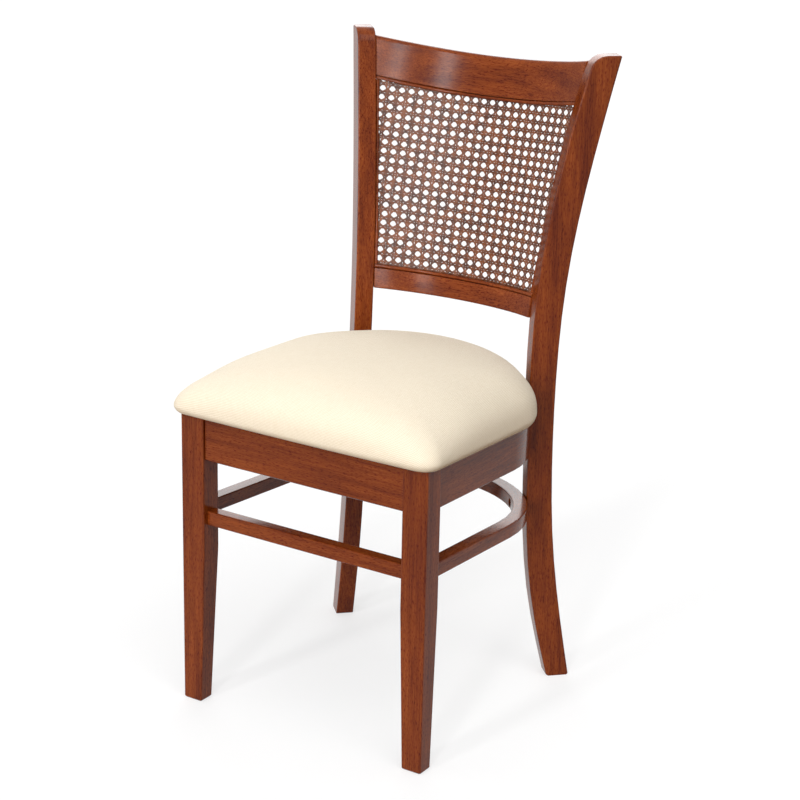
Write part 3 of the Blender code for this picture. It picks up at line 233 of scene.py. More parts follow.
@dataclass(frozen=True)
class Finish:
    """A named surface made of shader nodes."""

    name: str

    def start(self) -> tuple[Material, NodeTree, Node]:
        """Make a node material.

        Returns:
            The material, its node tree and its Principled shader.
        """
        material = bpy.data.materials.new(self.name)
        material.use_nodes = True
        return material, material.node_tree, material.node_tree.nodes["Principled BSDF"]

    def noise(self, tree: NodeTree, place: NodeSocket, size_mm: Sequence[float],
              detail: float, roughness: float = 0.5) -> NodeSocket:
        """Noise whose marks have a real size.

        Args:
            tree: Node tree of the material.
            place: Point of the surface in metres.
            size_mm: Size of one mark along each axis in millimetres.
            detail: Octaves of the noise.
            roughness: Weight of each octave against the one before.

        Returns:
            Socket of the noise, from 0 to 1.
        """
        scales = tuple(1 / (size * MM) for size in size_mm)
        scaled = add_node(tree, VECTOR_MATH, {0: place, 1: scales}, operation="MULTIPLY")
        noise = add_node(tree, "ShaderNodeTexNoise", {"Vector": scaled, "Scale": 1.0, "Detail": detail,
                                                      "Roughness": roughness})
        return noise.outputs["Fac"]


@dataclass(frozen=True)
class StainedBeech(Finish):
    """Beech, stained reddish brown and sprayed with a satin lacquer.

    Beech is fine and even, with short dark flecks along the grain where the stain gathers. The
    satin lacquer over it mirrors the soft lights as broad pale bands. Real pores are under a
    tenth of a millimetre wide, so the flecks are drawn coarser, 0.9 mm wide, to show at all.
    """

    run: GrainRun = GrainRun.UP
    stops: tuple[tuple[float, str], ...] = ((0.36, "5A210A"), (0.49, "753410"),
                                            (0.61, "864017"), (0.74, "984E22"))
    fleck_colour: str = "B8866A"
    fleck_band: tuple[float, float] = (0.56, 0.66)
    ior: float = 1.5
    roughness: float = 0.19
    specular: float = 0.16
    streak_mm: tuple[float, float] = (55.0, 1.7)
    cloud_mm: tuple[float, float] = (210.0, 16.0)
    fleck_mm: tuple[float, float] = (7.0, 0.9)
    details: tuple[float, float, float] = (4.0, 2.0, 1.0)
    noise_roughness: float = 0.6
    streak_share: float = 0.5
    relief_mm: float = 0.05
    relief_strength: float = 0.35
    hoop_radius: float = 0.18
    hoop_turn_y: float = 0.0

    def hoop_place(self, tree: NodeTree, x: NodeSocket,
                   y: NodeSocket) -> tuple[NodeSocket, NodeSocket]:
        """Follow a hoop, straight at its sides and round at the back.

        Args:
            tree: Node tree of the material.
            x: Socket of the distance across the chair.
            y: Socket of the distance towards its back.

        Returns:
            Sockets of the distance along the hoop and of the distance out from its middle.
        """
        past = add_node(tree, MATH, {0: y, 1: self.hoop_turn_y}, operation="SUBTRACT")
        bend = add_node(tree, MATH, {0: past, 1: 0.0}, operation="MAXIMUM")
        straight = add_node(tree, MATH, {0: past, 1: 0.0}, operation="MINIMUM")
        side = add_node(tree, MATH, {0: x}, operation="SIGN")
        turn = add_node(tree, MATH, {0: bend, 1: x}, operation="ARCTAN2")
        ahead = add_node(tree, MATH, {0: straight, 1: side}, operation="MULTIPLY")
        along = add_node(tree, MATH, {0: turn, 1: self.hoop_radius, 2: ahead}, operation="MULTIPLY_ADD")
        square = add_node(tree, MATH, {0: x, 1: 2.0}, operation="POWER")
        squares = add_node(tree, MATH, {0: bend, 1: bend, 2: square}, operation="MULTIPLY_ADD")
        out = add_node(tree, MATH, {0: squares}, operation="SQRT")
        return along.outputs[0], out.outputs[0]

    def grain_place(self, tree: NodeTree) -> NodeSocket:
        """Point of the surface as distance along the grain and two distances across it.

        Args:
            tree: Node tree of the material.

        Returns:
            Vector socket in metres, with the grain along its X.
        """
        place = add_node(tree, "ShaderNodeTexCoord").outputs["Object"]
        x, y, z = add_node(tree, "ShaderNodeSeparateXYZ", {0: place}).outputs
        if self.run is GrainRun.UP:
            parts = (z, x, y)
        elif self.run is GrainRun.ACROSS:
            parts = (x, y, z)
        else:
            parts = (*self.hoop_place(tree, x, y), z)
        return add_node(tree, "ShaderNodeCombineXYZ", dict(enumerate(parts))).outputs[0]

    def surface(self) -> Material:
        """Make the wood's material.

        Returns:
            A material whose grain runs the way this finish says.
        """
        material, tree, shader = self.start()
        place = self.grain_place(tree)
        streaks, clouds, flecks = (
            self.noise(tree, place, (length, width, width), detail, self.noise_roughness)
            for (length, width), detail in zip((self.streak_mm, self.cloud_mm, self.fleck_mm), self.details)
        )
        rest = add_node(tree, MATH, {0: clouds, 1: 1 - self.streak_share}, operation="MULTIPLY")
        blend = add_node(tree, MATH, {0: streaks, 1: self.streak_share, 2: rest}, operation="MULTIPLY_ADD")
        ramp = add_node(tree, RAMP, {"Fac": blend})
        set_stops(ramp, self.stops)
        pores = add_node(tree, RAMP, {"Fac": flecks})
        set_stops(pores, tuple(zip(self.fleck_band, (WHITE, self.fleck_colour))))
        colour = add_node(tree, MIX, {COLOUR_A: ramp, COLOUR_B: pores, MIX_SHARE: 1.0},
                          data_type="RGBA", blend_type="MULTIPLY")
        bump = add_node(tree, "ShaderNodeBump", {"Height": streaks, "Strength": self.relief_strength,
                                                 "Distance": self.relief_mm * MM})
        set_inputs(tree, shader, {"Base Color": colour.outputs[COLOUR_OUT], "Roughness": self.roughness,
                                  "IOR": self.ior, "Specular IOR Level": self.specular, "Normal": bump})
        return material


@dataclass(frozen=True)
class CreamWeave(Finish):
    """Cream upholstery cloth in a plain weave, matt, with a short soft nap.

    The threads are drawn at 1.9 mm, a little coarser than the real cloth, so that the weave
    still shows from across a room. The colour follows the height of the weave: the hollows
    between the thread crowns are painted darker as shade and the crowns paler, and thicker
    stretches of thread, the slubs, stand higher and are paler too.
    """

    thread_mm: float = 1.9
    slub_mm: tuple[float, float] = (16.0, 1.9)
    slub_detail: float = 2.0
    # Cloth tone in the weave's hollows, darkened there as painted shade, and on its crowns.
    low: str = "DCCBAD"
    high: str = "F6ECD9"
    high_from: float = 0.55
    roughness: float = 0.92
    specular: float = 0.25
    sheen: float = 0.15
    sheen_roughness: float = 0.6
    relief_mm: float = 0.35
    relief_strength: float = 0.8

    def surface(self) -> Material:
        """Make the cloth's material on the cushion's own thread lines.

        Returns:
            A material that reads the piece's UV map, laid out in metres.
        """
        material, tree, shader = self.start()
        place = add_node(tree, "ShaderNodeTexCoord").outputs["UV"]
        phase = math.pi / (self.thread_mm * MM)
        turns = add_node(tree, VECTOR_MATH, {0: place, 1: (phase, phase, phase)}, operation="MULTIPLY")
        waves = add_node(tree, VECTOR_MATH, {0: turns}, operation="SINE")
        warp, weft, _ = add_node(tree, "ShaderNodeSeparateXYZ", {0: waves}).outputs
        crossing = add_node(tree, MATH, {0: warp, 1: weft}, operation="MULTIPLY")
        crown = add_node(tree, MATH, {0: crossing}, operation="ABSOLUTE")
        length, width = self.slub_mm
        slubs = [self.noise(tree, place, (*size, width), self.slub_detail)
                 for size in ((length, width), (width, length))]
        uneven = add_node(tree, MATH, dict(enumerate(slubs)), operation="ADD")
        height = add_node(tree, MATH, {0: crown, 1: uneven}, operation="MULTIPLY")
        # Painted shade: the ramp darkens the low parts of the weave, the hollows between the thread crowns.
        ramp = add_node(tree, RAMP, {"Fac": height})
        set_stops(ramp, ((0.0, self.low), (self.high_from, self.high)))
        bump = add_node(tree, "ShaderNodeBump", {"Height": height, "Strength": self.relief_strength,
                                                 "Distance": self.relief_mm * MM})
        set_inputs(tree, shader, {"Base Color": ramp, "Roughness": self.roughness,
                                  "Specular IOR Level": self.specular, "Sheen Weight": self.sheen,
                                  "Sheen Roughness": self.sheen_roughness, "Normal": bump})
        return material


@dataclass(frozen=True)
class MottledFinish(Finish):
    """A surface that goes unevenly between two close tones."""

    light: str
    dark: str
    mottle_mm: tuple[float, float, float] = (40.0, 3.0, 3.0)
    band: tuple[float, float] = (0.35, 0.65)
    detail: float = 3.0
    roughness: float = 0.6
    metallic: float = 0.0

    def surface(self) -> Material:
        """Make the material.

        Returns:
            A material whose tones follow marks of the size that this finish gives.
        """
        material, tree, shader = self.start()
        place = add_node(tree, "ShaderNodeTexCoord").outputs["Object"]
        ramp = add_node(tree, RAMP, {"Fac": self.noise(tree, place, self.mottle_mm, self.detail)})
        set_stops(ramp, tuple(zip(self.band, (self.dark, self.light))))
        set_inputs(tree, shader,
                   {"Base Color": ramp, "Roughness": self.roughness, "Metallic": self.metallic})
        return material


@dataclass(frozen=True)
class LacqueredCane(MottledFinish):
    """Split rattan, stained dark walnut and lacquered.

    The hard skin of the cane is left on, so each strand has a glossy line of light, and its
    tone changes a little every centimetre or so.
    """

    name: str = "lacquered_cane"
    light: str = "80441C"
    dark: str = "4C230D"
    mottle_mm: tuple[float, float, float] = (9.0, 9.0, 9.0)
    band: tuple[float, float] = (0.36, 0.66)
    detail: float = 2.0
    roughness: float = 0.30


@dataclass(frozen=True)
class BareBeech(MottledFinish):
    """Planed beech without stain or lacquer: pale pinkish, dull, with soft bands along it."""

    name: str = "bare_beech"
    light: str = "D9B088"
    dark: str = "C49A72"
    roughness: float = 0.65


@dataclass(frozen=True)
class BirchPlywood(MottledFinish):
    """Birch veneer, peeled and glued into plywood: straw-coloured and dull, with soft bands."""

    name: str = "birch_plywood"
    light: str = "D8BC8E"
    dark: str = "C5A676"
    roughness: float = 0.7


@dataclass(frozen=True)
class BlackenedSteel(MottledFinish):
    """Steel with a black oxide skin, which leaves a dim, slightly cloudy gleam."""

    name: str = "blackened_steel"
    light: str = "3A3734"
    dark: str = "242220"
    mottle_mm: tuple[float, float, float] = (4.0, 4.0, 4.0)
    roughness: float = 0.45
    metallic: float = 1.0


@dataclass(frozen=True)
class ZincPlatedSteel(MottledFinish):
    """Steel with a thin bath of zinc, silvery grey and faintly uneven."""

    name: str = "zinc_plated_steel"
    light: str = "C6C4BE"
    dark: str = "A9A7A2"
    mottle_mm: tuple[float, float, float] = (4.0, 4.0, 4.0)
    roughness: float = 0.35
    metallic: float = 1.0


@dataclass(frozen=True)
class BlackFelt(MottledFinish):
    """Thin dust cloth of pressed black fibres: matt, with tufts a tone lighter here and there."""

    name: str = "black_felt"
    light: str = "2B2B2D"
    dark: str = "1B1B1D"
    mottle_mm: tuple[float, float, float] = (1.5, 1.5, 1.5)
    roughness: float = 0.95


@dataclass
class WoodenFrame:
    """The CAD nodes of the wooden frame and its fixings, shaded smooth and finished."""

    nodes: dict[str, Object]
    hoop_turn_y: float
    bevel_angle_deg: float = 35.0
    bevel_segments: int = 2
    edge_mm: float = 0.8
    bead_edge_mm: float = 0.5
    merge_mm: float = 0.01
    normal_weight: int = 60
    unbevelled: tuple[str, ...] = ("screw", "seat_board", "dust_cover", "seat_cushion")

    def shading_group(self) -> NodeTree:
        """Node group that joins split facets and shades them smooth.

        Returns:
            A geometry node group for a modifier.
        """
        group = bpy.data.node_groups.new("even_shading", "GeometryNodeTree")
        for way in ("INPUT", "OUTPUT"):
            group.interface.new_socket("Geometry", in_out=way, socket_type="NodeSocketGeometry")
        source = add_node(group, "NodeGroupInput")
        joined = add_node(group, "GeometryNodeMergeByDistance",
                          {"Geometry": source, "Distance": self.merge_mm * MM})
        shaded = add_node(group, "GeometryNodeSetMeshNormal",
                          {"Mesh": joined, "Remove Custom": True, "Edge Sharpness": False,
                           "Face Sharpness": False}, mode="SHARPNESS")
        add_node(group, "NodeGroupOutput", {0: shaded})
        return group

    def build(self) -> None:
        """Shade every CAD node that stays in view evenly, with lightly sanded edges."""
        group = self.shading_group()
        for name, node in self.nodes.items():
            if name == "cane_panel":
                continue
            node.modifiers.new("even_shading", "NODES").node_group = group
            if not any(key in name for key in self.unbevelled):
                edges = node.modifiers.new("sanded_edges", "BEVEL")
                edges.width = (self.bead_edge_mm if "bead" in name else self.edge_mm) * MM
                edges.segments = self.bevel_segments
                edges.limit_method = "ANGLE"
                edges.angle_limit = math.radians(self.bevel_angle_deg)
                edges.use_clamp_overlap = False
            weighted = node.modifiers.new("weighted_normals", "WEIGHTED_NORMAL")
            weighted.weight = self.normal_weight

    def dress(self) -> None:
        """Give every CAD node its finish, the first whose words are in the node's name."""
        hoop = StainedBeech("stained_beech_hoop", GrainRun.ALONG_HOOP, hoop_turn_y=self.hoop_turn_y)
        finishes = (
            (("front_leg", "rear_post"), StainedBeech("stained_beech_upright", GrainRun.UP)),
            (("hoop_screw",), BlackenedSteel()),
            (("seat_screw",), ZincPlatedSteel()),
            (("hoop",), hoop),
            (("bead",), StainedBeech("stained_beech_bead", GrainRun.ACROSS)),
            (("rail", "front_stretcher"), StainedBeech("stained_beech_across", GrainRun.ACROSS)),
            (("corner_block",), BareBeech()),
            (("seat_board",), BirchPlywood()),
            (("dust_cover",), BlackFelt("felt")),
            (("cane_panel",), LacqueredCane("hidden_cane")),
            (("seat_cushion",), MottledFinish("hidden_cushion", "FBF5E8", "E6DAC3")),
        )
        surfaces = [(keys, finish.surface()) for keys, finish in finishes]
        for name, node in self.nodes.items():
            surface = next(surface for keys, surface in surfaces if any(key in name for key in keys))
            node.data.materials.clear()
            node.data.materials.append(surface)
            LOG.info("%s: %s", name, surface.name)


@dataclass
class CurvedBack:
    """The doubly curved face that the crest, the cane and the lower rail share.

    Sizes are the source's own: distances across and up the face are measured along it, from
    its middle.
    """

    front_y: float
    middle_setback: float = 0.41386
    middle_height: float = 0.6767
    lean: float = math.radians(12.57)
    lean_growth: float = 4.5641
    lean_fade: float = 0.6277
    radius: float = 0.32227
    flattening: float = 2.0281
    spine_steps: int = 16
    post_turn: float = math.radians(44.94)
    post_lean_share: float = 0.0309
    side_limit: float = field(default=0.0, init=False)

    def lean_at(self, up: np.ndarray) -> np.ndarray:
        """Lean of the back from upright at a distance up its face."""
        return self.lean + up / self.lean_growth - (up / self.lean_fade) ** 2

    def place(self, across: np.ndarray, up: np.ndarray, depth: np.ndarray) -> tuple[np.ndarray, np.ndarray]:
        """Points of the back and the directions square to its face.

        Args:
            across: Distances across the face.
            up: Distances up the face.
            depth: Distances behind the face.

        Returns:
            Points, set back the way the CAD rails are, and unit normals that point backwards.
        """
        setback = np.full(np.shape(up), self.middle_setback + self.front_y)
        height = np.full(np.shape(up), self.middle_height)
        stride = up / self.spine_steps
        for step in range(self.spine_steps):
            lean = self.lean_at((2 * step + 1) * stride / 2)
            setback = setback + np.sin(lean) * stride
            height = height + np.cos(lean) * stride
        lean = self.lean_at(up)
        curve = (1 - up / self.flattening) / self.radius
        turn = curve * across
        sagitta = (1 - np.cos(turn)) / curve
        rise, fall = np.cos(turn) * np.cos(lean), -np.cos(turn) * np.sin(lean)
        normal = np.stack([np.sin(turn), rise, fall], axis=-1)
        setting_back = np.stack([-np.sin(turn), rise, fall], axis=-1)
        face = np.stack([np.sin(turn) / curve, setback - np.cos(lean) * sagitta,
                         height + np.sin(lean) * sagitta], axis=-1)
        return face + setting_back * np.asarray(depth)[..., None], normal

    def post_reach(self, points: np.ndarray) -> np.ndarray:
        """How far points lie towards the nearer post, square to its inner face."""
        across, along = math.cos(self.post_turn), math.sin(self.post_turn)
        return abs(points[..., 0]) * across - points[..., 1] * along + self.post_lean_share * points[..., 2]

    def take_side_limit(self, panel: Object) -> None:
        """Read from the CAD panel how far its edges run into the posts."""
        points = np.array([vertex.co for vertex in panel.data.vertices])
        self.side_limit = float(self.post_reach(points).max())


@dataclass
class CanePanel:
    """Woven cane: upright and level strands in pairs, with two sets of diagonals."""

    back: CurvedBack
    pitch_across: float = 14.07 * MM
    pitch_up: float = 12.58 * MM
    row_phase: float = 5.54 * MM
    low: float = -128.0 * MM
    high: float = 133.5 * MM
    end_lift: float = 7.2 * MM
    lift_half_width: float = 158.8 * MM
    depth: float = 5.8 * MM
    upright_width: float = 2.6 * MM
    level_width: float = 2.4 * MM
    diagonal_width: float = 2.2 * MM
    thickness: float = 0.62 * MM
    pair_gap: float = 0.35 * MM
    weave_rise: float = 0.36 * MM
    diagonal_rise: float = 0.85 * MM
    half_columns: int = 13
    half_rows: int = 12
    steps: int = 5
    fewest_steps: int = 3
    section_sides: int = 6
    points: list[np.ndarray] = field(default_factory=list)
    faces: list[tuple[int, ...]] = field(default_factory=list)
    count: int = 0

    def inside(self, across: np.ndarray, up: np.ndarray, points: np.ndarray) -> np.ndarray:
        """Which points of a strand lie within the panel."""
        top = self.high + self.end_lift * (across / self.lift_half_width) ** 2
        return (up > self.low) & (up < top) & (self.back.post_reach(points) < self.back.side_limit)

    def strand(self, across: np.ndarray, up: np.ndarray, rise: np.ndarray, width: float) -> None:
        """Add one flat strand, rounded on both faces, cut off at the panel's edge.

        Args:
            across: Distances across the panel along the strand.
            up: Distances up the panel along the strand.
            rise: How far the strand stands in front of the panel's middle plane.
            width: Width of the strand.
        """
        points, normals = self.back.place(across, up, self.depth - rise)
        kept = np.flatnonzero(self.inside(across, up, points))
        if len(kept) < self.fewest_steps:
            return
        points, normals = points[kept], normals[kept]
        run = np.gradient(points, axis=0)
        run /= np.linalg.norm(run, axis=1)[:, None]
        side = np.cross(normals, run)
        sides = self.section_sides
        turns = 2 * math.pi * np.arange(sides) / sides
        ring = (np.cos(turns)[None, :, None] * side[:, None, :] * width / 2
                + np.sin(turns)[None, :, None] * normals[:, None, :] * self.thickness / 2)
        self.points.append((points[:, None, :] + ring).reshape(-1, 3))
        last = self.count + (len(points) - 1) * sides
        for first in range(self.count, last, sides):
            self.faces += join_rings(first, first + sides, sides)
        self.faces.append(tuple(reversed(range(self.count, self.count + sides))))
        self.faces.append(tuple(range(last, last + sides)))
        self.count = last + sides

    def marks(self, half_count: int) -> np.ndarray:
        """Places along a strand, in pitches from the middle."""
        return np.arange(-half_count * self.steps, half_count * self.steps + 1) / self.steps

    def level_and_upright(self) -> None:
        """Add the pairs of upright and level strands, each passing over and under the others."""
        rows, columns = self.marks(self.half_rows), self.marks(self.half_columns)
        for column in range(-self.half_columns, self.half_columns + 1):
            for which in (-1, 1):
                offset = which * (self.upright_width + self.pair_gap) / 2
                rise = which * self.weave_rise * np.cos(math.pi * (rows + column))
                across = np.full(len(rows), column * self.pitch_across + offset)
                self.strand(across, rows * self.pitch_up + self.row_phase, rise, self.upright_width)
        for row in range(-self.half_rows, self.half_rows + 1):
            for which in (-1, 1):
                offset = which * (self.level_width + self.pair_gap) / 2
                rise = -which * self.weave_rise * np.cos(math.pi * (columns + row))
                up = np.full(len(columns), row * self.pitch_up + self.row_phase + offset)
                self.strand(columns * self.pitch_across, up, rise, self.level_width)

    def diagonals(self) -> None:
        """Add the diagonals that cut the corners of the openings, half a pitch from the pairs."""
        reach = self.half_columns + self.half_rows
        columns = self.marks(self.half_columns)
        for slope in (-1, 1):
            for number in range(-reach, reach):
                rows = slope * columns + number + 0.5
                rise = slope * self.diagonal_rise * np.cos(2 * math.pi * (columns - 0.5))
                self.strand(columns * self.pitch_across, rows * self.pitch_up + self.row_phase, rise,
                            self.diagonal_width)

    def build(self, surface: Material) -> Object:
        """Weave the panel.

        Args:
            surface: The cane's material.

        Returns:
            The woven piece, which stands for the CAD panel.
        """
        self.level_and_upright()
        self.diagonals()
        return add_piece("woven_cane", np.concatenate(self.points), self.faces, surface,
                         ("cane_panel",))


@dataclass
class SeatPlan:
    """Plan of the seat hoop's outer face, which the cushion follows.

    Sizes are the source's own, measured from the plane of the leg fronts.
    """

    leg_depth: float = 0.0327
    spread: float = 0.3824
    toe_in_share: float = 0.0305
    straight_end: float = 0.2358
    corner_radius: float = 0.1701
    corner_turn: float = math.radians(39.2)
    frame_top: float = 0.4212
    rake_share: float = 0.050

    def top_at(self, back: float) -> float:
        """Height of the raked top of the seat frame."""
        return self.frame_top - self.rake_share * back

    def half(self, front: float, straights: int, corners: int, rears: int) -> list[PlanPoint]:
        """Right half of the plan, front to rear.

        Args:
            front: Where the plan starts behind the leg fronts.
            straights: Steps along the straight side.
            corners: Steps round the tight bend.
            rears: Steps round the wide bend, to the middle of the back.

        Returns:
            Points with the angle of their outward normal: (x, y, angle).
        """
        toe = math.atan(self.toe_in_share)
        bend_x = self.spread / 2 - self.toe_in_share * (self.straight_end - self.leg_depth)
        corner_x = bend_x - math.cos(toe) * self.corner_radius
        corner_y = self.straight_end - math.sin(toe) * self.corner_radius
        joint = toe + self.corner_turn
        rear_radius = (corner_x + self.corner_radius * math.cos(joint)) / math.cos(joint)
        rear_y = corner_y - (rear_radius - self.corner_radius) * math.sin(joint)
        side = []
        for step in range(straights):
            y = front + (self.straight_end - front) * step / straights
            side.append((bend_x + self.toe_in_share * (self.straight_end - y), y, toe))
        corner = arc((corner_x, corner_y), self.corner_radius, toe, joint, corners)
        rear = arc((0.0, rear_y), rear_radius, joint, math.pi / 2, rears)
        return side + corner + rear + [(0.0, rear_y + rear_radius, math.pi / 2)]


@dataclass
class SeatCushion:
    """Domed seat: taut cloth over foam, drawn in and turned under the board."""

    plan: SeatPlan
    front_y: float
    overhang: float = 18.0 * MM
    front: float = -16.5 * MM
    bow: float = 2.2 * MM
    corner_radius: float = 28.0 * MM
    post_angle: float = math.radians(45.0)
    post_gap: float = 2.2 * MM
    draw_in: float = 8.6 * MM
    bulge_height: float = 10.0 * MM
    bulge_rise_share: float = 0.012
    crown: float = 70.5 * MM
    rear_lift_share: float = 0.040
    crown_setback: float = 142.0 * MM
    corner_reach: float = 130.0 * MM
    dome_power: float = 2.9
    edge_power: float = 2.55
    corner_softening: float = 0.95
    board_gap: float = 2.0 * MM
    lip: float = 26.0 * MM
    lip_thickness: float = 1.2 * MM
    board_thickness: float = 10.0 * MM
    fit_gap: float = 0.3 * MM
    swell: float = 1.0 * MM
    least_rise: float = 0.1 * MM
    full_draw_share: float = 0.5
    cloth_cap: float = 2.5 * MM
    cloth_frames: int = 20
    cloth_quality: int = 5
    cloth_mass: float = 0.3
    cloth_stiffness: float = 20.0
    cloth_bending: float = 2.0
    cloth_pressure: float = 4.0
    even_passes: int = 80
    plan_steps: tuple[int, int, int] = (16, 14, 12)
    edge_steps: int = 16
    round_steps: int = 9
    tuck_shares: tuple[tuple[float, float], ...] = ((1.0, 0.0), (0.78, 0.06), (0.55, 0.16), (0.36, 0.32),
                                                    (0.20, 0.50), (0.08, 0.70), (0.02, 0.86), (0.0, 1.0))
    dome_steps: int = 30
    subdivisions: int = 1

    def outline(self) -> list[PlanPoint]:
        """Widest line of the cushion, all the way round.

        Returns:
            Points with the angle of their outward normal: (x, y, angle).
        """
        toe = math.atan(self.plan.toe_in_share)
        side = []
        for x, y, angle in self.plan.half(self.front + self.corner_radius, *self.plan_steps):
            share = smooth_share((angle - toe) / (self.post_angle - toe))
            out = self.overhang - (self.overhang + self.post_gap) * share
            side.append((x + out * math.cos(angle), y + out * math.sin(angle) * (angle > toe), angle))
        centre_x, centre_y = side[0][0] - self.corner_radius, side[0][1]
        half = []
        for step in range(self.edge_steps):
            x = centre_x * step / self.edge_steps
            half.append((x, self.front - self.bow * (1 - (x / centre_x) ** 2), -math.pi / 2))
        half += arc((centre_x, centre_y), self.corner_radius, -math.pi / 2, toe, self.round_steps) + side
        return half + [(-x, y, math.pi - angle) for x, y, angle in reversed(half[1:-1])]

    def bulge_at(self, back: float) -> float:
        """Height of the widest line above the seat frame."""
        return self.bulge_height + self.bulge_rise_share * (back - self.front)

    def seat_point(self, x: float, y: float, height: float) -> tuple[float, float, float]:
        """Point at a height above the raked seat frame, in the frame's place."""
        return (x, y + self.front_y, self.plan.top_at(y) + self.fit_gap + height)

    def inset_ring(self, outline: Sequence[PlanPoint], inset: float, height: float,
                   rise_share: float = 0.0) -> list[PlanPoint]:
        """Ring drawn in from the widest line.

        Args:
            outline: Widest line of the cushion.
            inset: How far the ring is drawn in.
            height: Height of the ring above the seat frame.
            rise_share: Share of the widest line's height that is added to it.

        Returns:
            The ring's points.
        """
        return [self.seat_point(x - inset * math.cos(angle), y - inset * math.sin(angle),
                                height + self.bulge_at(y) * rise_share) for x, y, angle in outline]

    def dome_ring(self, outline: Sequence[PlanPoint], share: float) -> list[tuple[float, ...]]:
        """Ring of the domed top.

        Args:
            outline: Widest line of the cushion.
            share: Reach of the ring from the crown, as a share of the widest line's.

        Returns:
            The ring's points, rounder in plan the nearer it lies to the crown.
        """
        side_x = max(x for x, _, _ in outline)
        front_y = self.crown_setback - min(y for _, y, _ in outline)
        rear_y = max(y for _, y, _ in outline) - self.crown_setback
        inner = smooth_share(1 - share)
        ring = []
        for x, y, _ in outline:
            back = y - self.crown_setback
            stretch = 1 / math.hypot(x / side_x, back / (rear_y if back > 0 else front_y))
            reach_x = x + (x * stretch - x) * inner
            reach_y = back + (back * stretch - back) * inner
            px, py = reach_x * share, self.crown_setback + reach_y * share
            base = self.bulge_at(y) * share + self.bulge_at(self.crown_setback) * (1 - share)
            crown = self.crown + self.rear_lift_share * (py - self.crown_setback)
            near = smooth_share(1 - math.hypot(abs(x) - side_x, y - self.front) / self.corner_reach)
            power = self.edge_power - self.corner_softening * near
            dome = crown * (1 - share ** self.dome_power) ** (1 / power)
            ring.append(self.seat_point(px, py, base + dome))
        return ring

    def rings(self) -> list[list[tuple[float, ...]]]:
        """Draw the cushion as rings of equal count.

        Returns:
            All rings, from the board's pocket out round the edge and up to the crown.
        """
        outline = self.outline()
        board = self.draw_in + self.board_gap - self.fit_gap
        ceiling = self.lip_thickness + self.board_thickness + 2 * self.fit_gap
        under = ((board, ceiling), (board, self.lip_thickness), (self.lip, self.lip_thickness),
                 (self.lip, 0.0), ((self.lip + self.draw_in) / 2, 0.0))
        rings = [self.inset_ring(outline, inset, height) for inset, height in under]
        rings += [self.inset_ring(outline, self.draw_in * inset_share, 0.0, rise_share)
                  for inset_share, rise_share in self.tuck_shares]
        rings += [self.dome_ring(outline, math.cos(math.pi / 2 * step / self.dome_steps))
                  for step in range(1, self.dome_steps)]
        return rings

    def lay_threads(self, mesh: Mesh, rings: Sequence[Sequence[tuple[float, ...]]]) -> None:
        """Lay the cloth's threads as a UV map in metres, straight over the crown.

        Args:
            mesh: Mesh of the cushion, ring after ring.
            rings: The rings it was made from.
        """
        grid = np.array(rings)
        steps = np.linalg.norm(np.diff(grid[::-1], axis=0), axis=2)
        inner = np.linalg.norm(grid[-1] - grid[-1].mean(axis=0), axis=1)
        reach = np.concatenate([inner[None], inner[None] + np.cumsum(steps, axis=0)])[::-1]
        way = grid[-1][:, :2] - grid[-1][:, :2].mean(axis=0)
        way /= np.linalg.norm(way, axis=1)[:, None]
        flat = (reach[..., None] * way[None]).reshape(-1, 2)
        flat = np.concatenate([flat, [[0.0, 0.0]]])
        layer = mesh.uv_layers.new(name="threads")
        corners = np.zeros(len(mesh.loops), dtype=np.int32)
        mesh.loops.foreach_get("vertex_index", corners)
        layer.data.foreach_set("uv", flat[corners].ravel())

    def draw_back(self, piece: Object, free_from: int) -> None:
        """Draw the free part of the cover in along its normals, to leave room for the swelling.

        Args:
            piece: The cushion at its final size.
            free_from: Number of the first vertex that is free to move.
        """
        normals = [Vector(vertex.normal) for vertex in piece.data.vertices]
        foot_height = self.plan.frame_top
        rise = max(vertex.co.z for vertex in piece.data.vertices) - foot_height
        for vertex, normal in zip(piece.data.vertices, normals):
            if vertex.index >= free_from:
                share = min(1.0, (vertex.co.z - foot_height) / rise / self.full_draw_share)
                vertex.co -= normal * self.swell * max(0.0, share)

    def add_cloth(self, piece: Object, free_from: int) -> Modifier:
        """Give the cushion a cloth cover that is held along its foot.

        Args:
            piece: The cushion.
            free_from: Number of the first vertex that is free to move.

        Returns:
            The cloth modifier.
        """
        foot = piece.vertex_groups.new(name="foot")
        foot.add(list(range(free_from)), 1.0, "REPLACE")
        cloth = piece.modifiers.new("cover", "CLOTH")
        cloth.settings.quality = self.cloth_quality
        cloth.settings.mass = self.cloth_mass
        cloth.settings.tension_stiffness = self.cloth_stiffness
        cloth.settings.compression_stiffness = self.cloth_stiffness
        cloth.settings.bending_stiffness = self.cloth_bending
        cloth.settings.use_pressure = True
        cloth.settings.uniform_pressure_force = self.cloth_pressure
        cloth.settings.vertex_group_mass = foot.name
        cloth.settings.effector_weights.gravity = 0
        cloth.point_cache.frame_start = 1
        cloth.point_cache.frame_end = self.cloth_frames
        return cloth

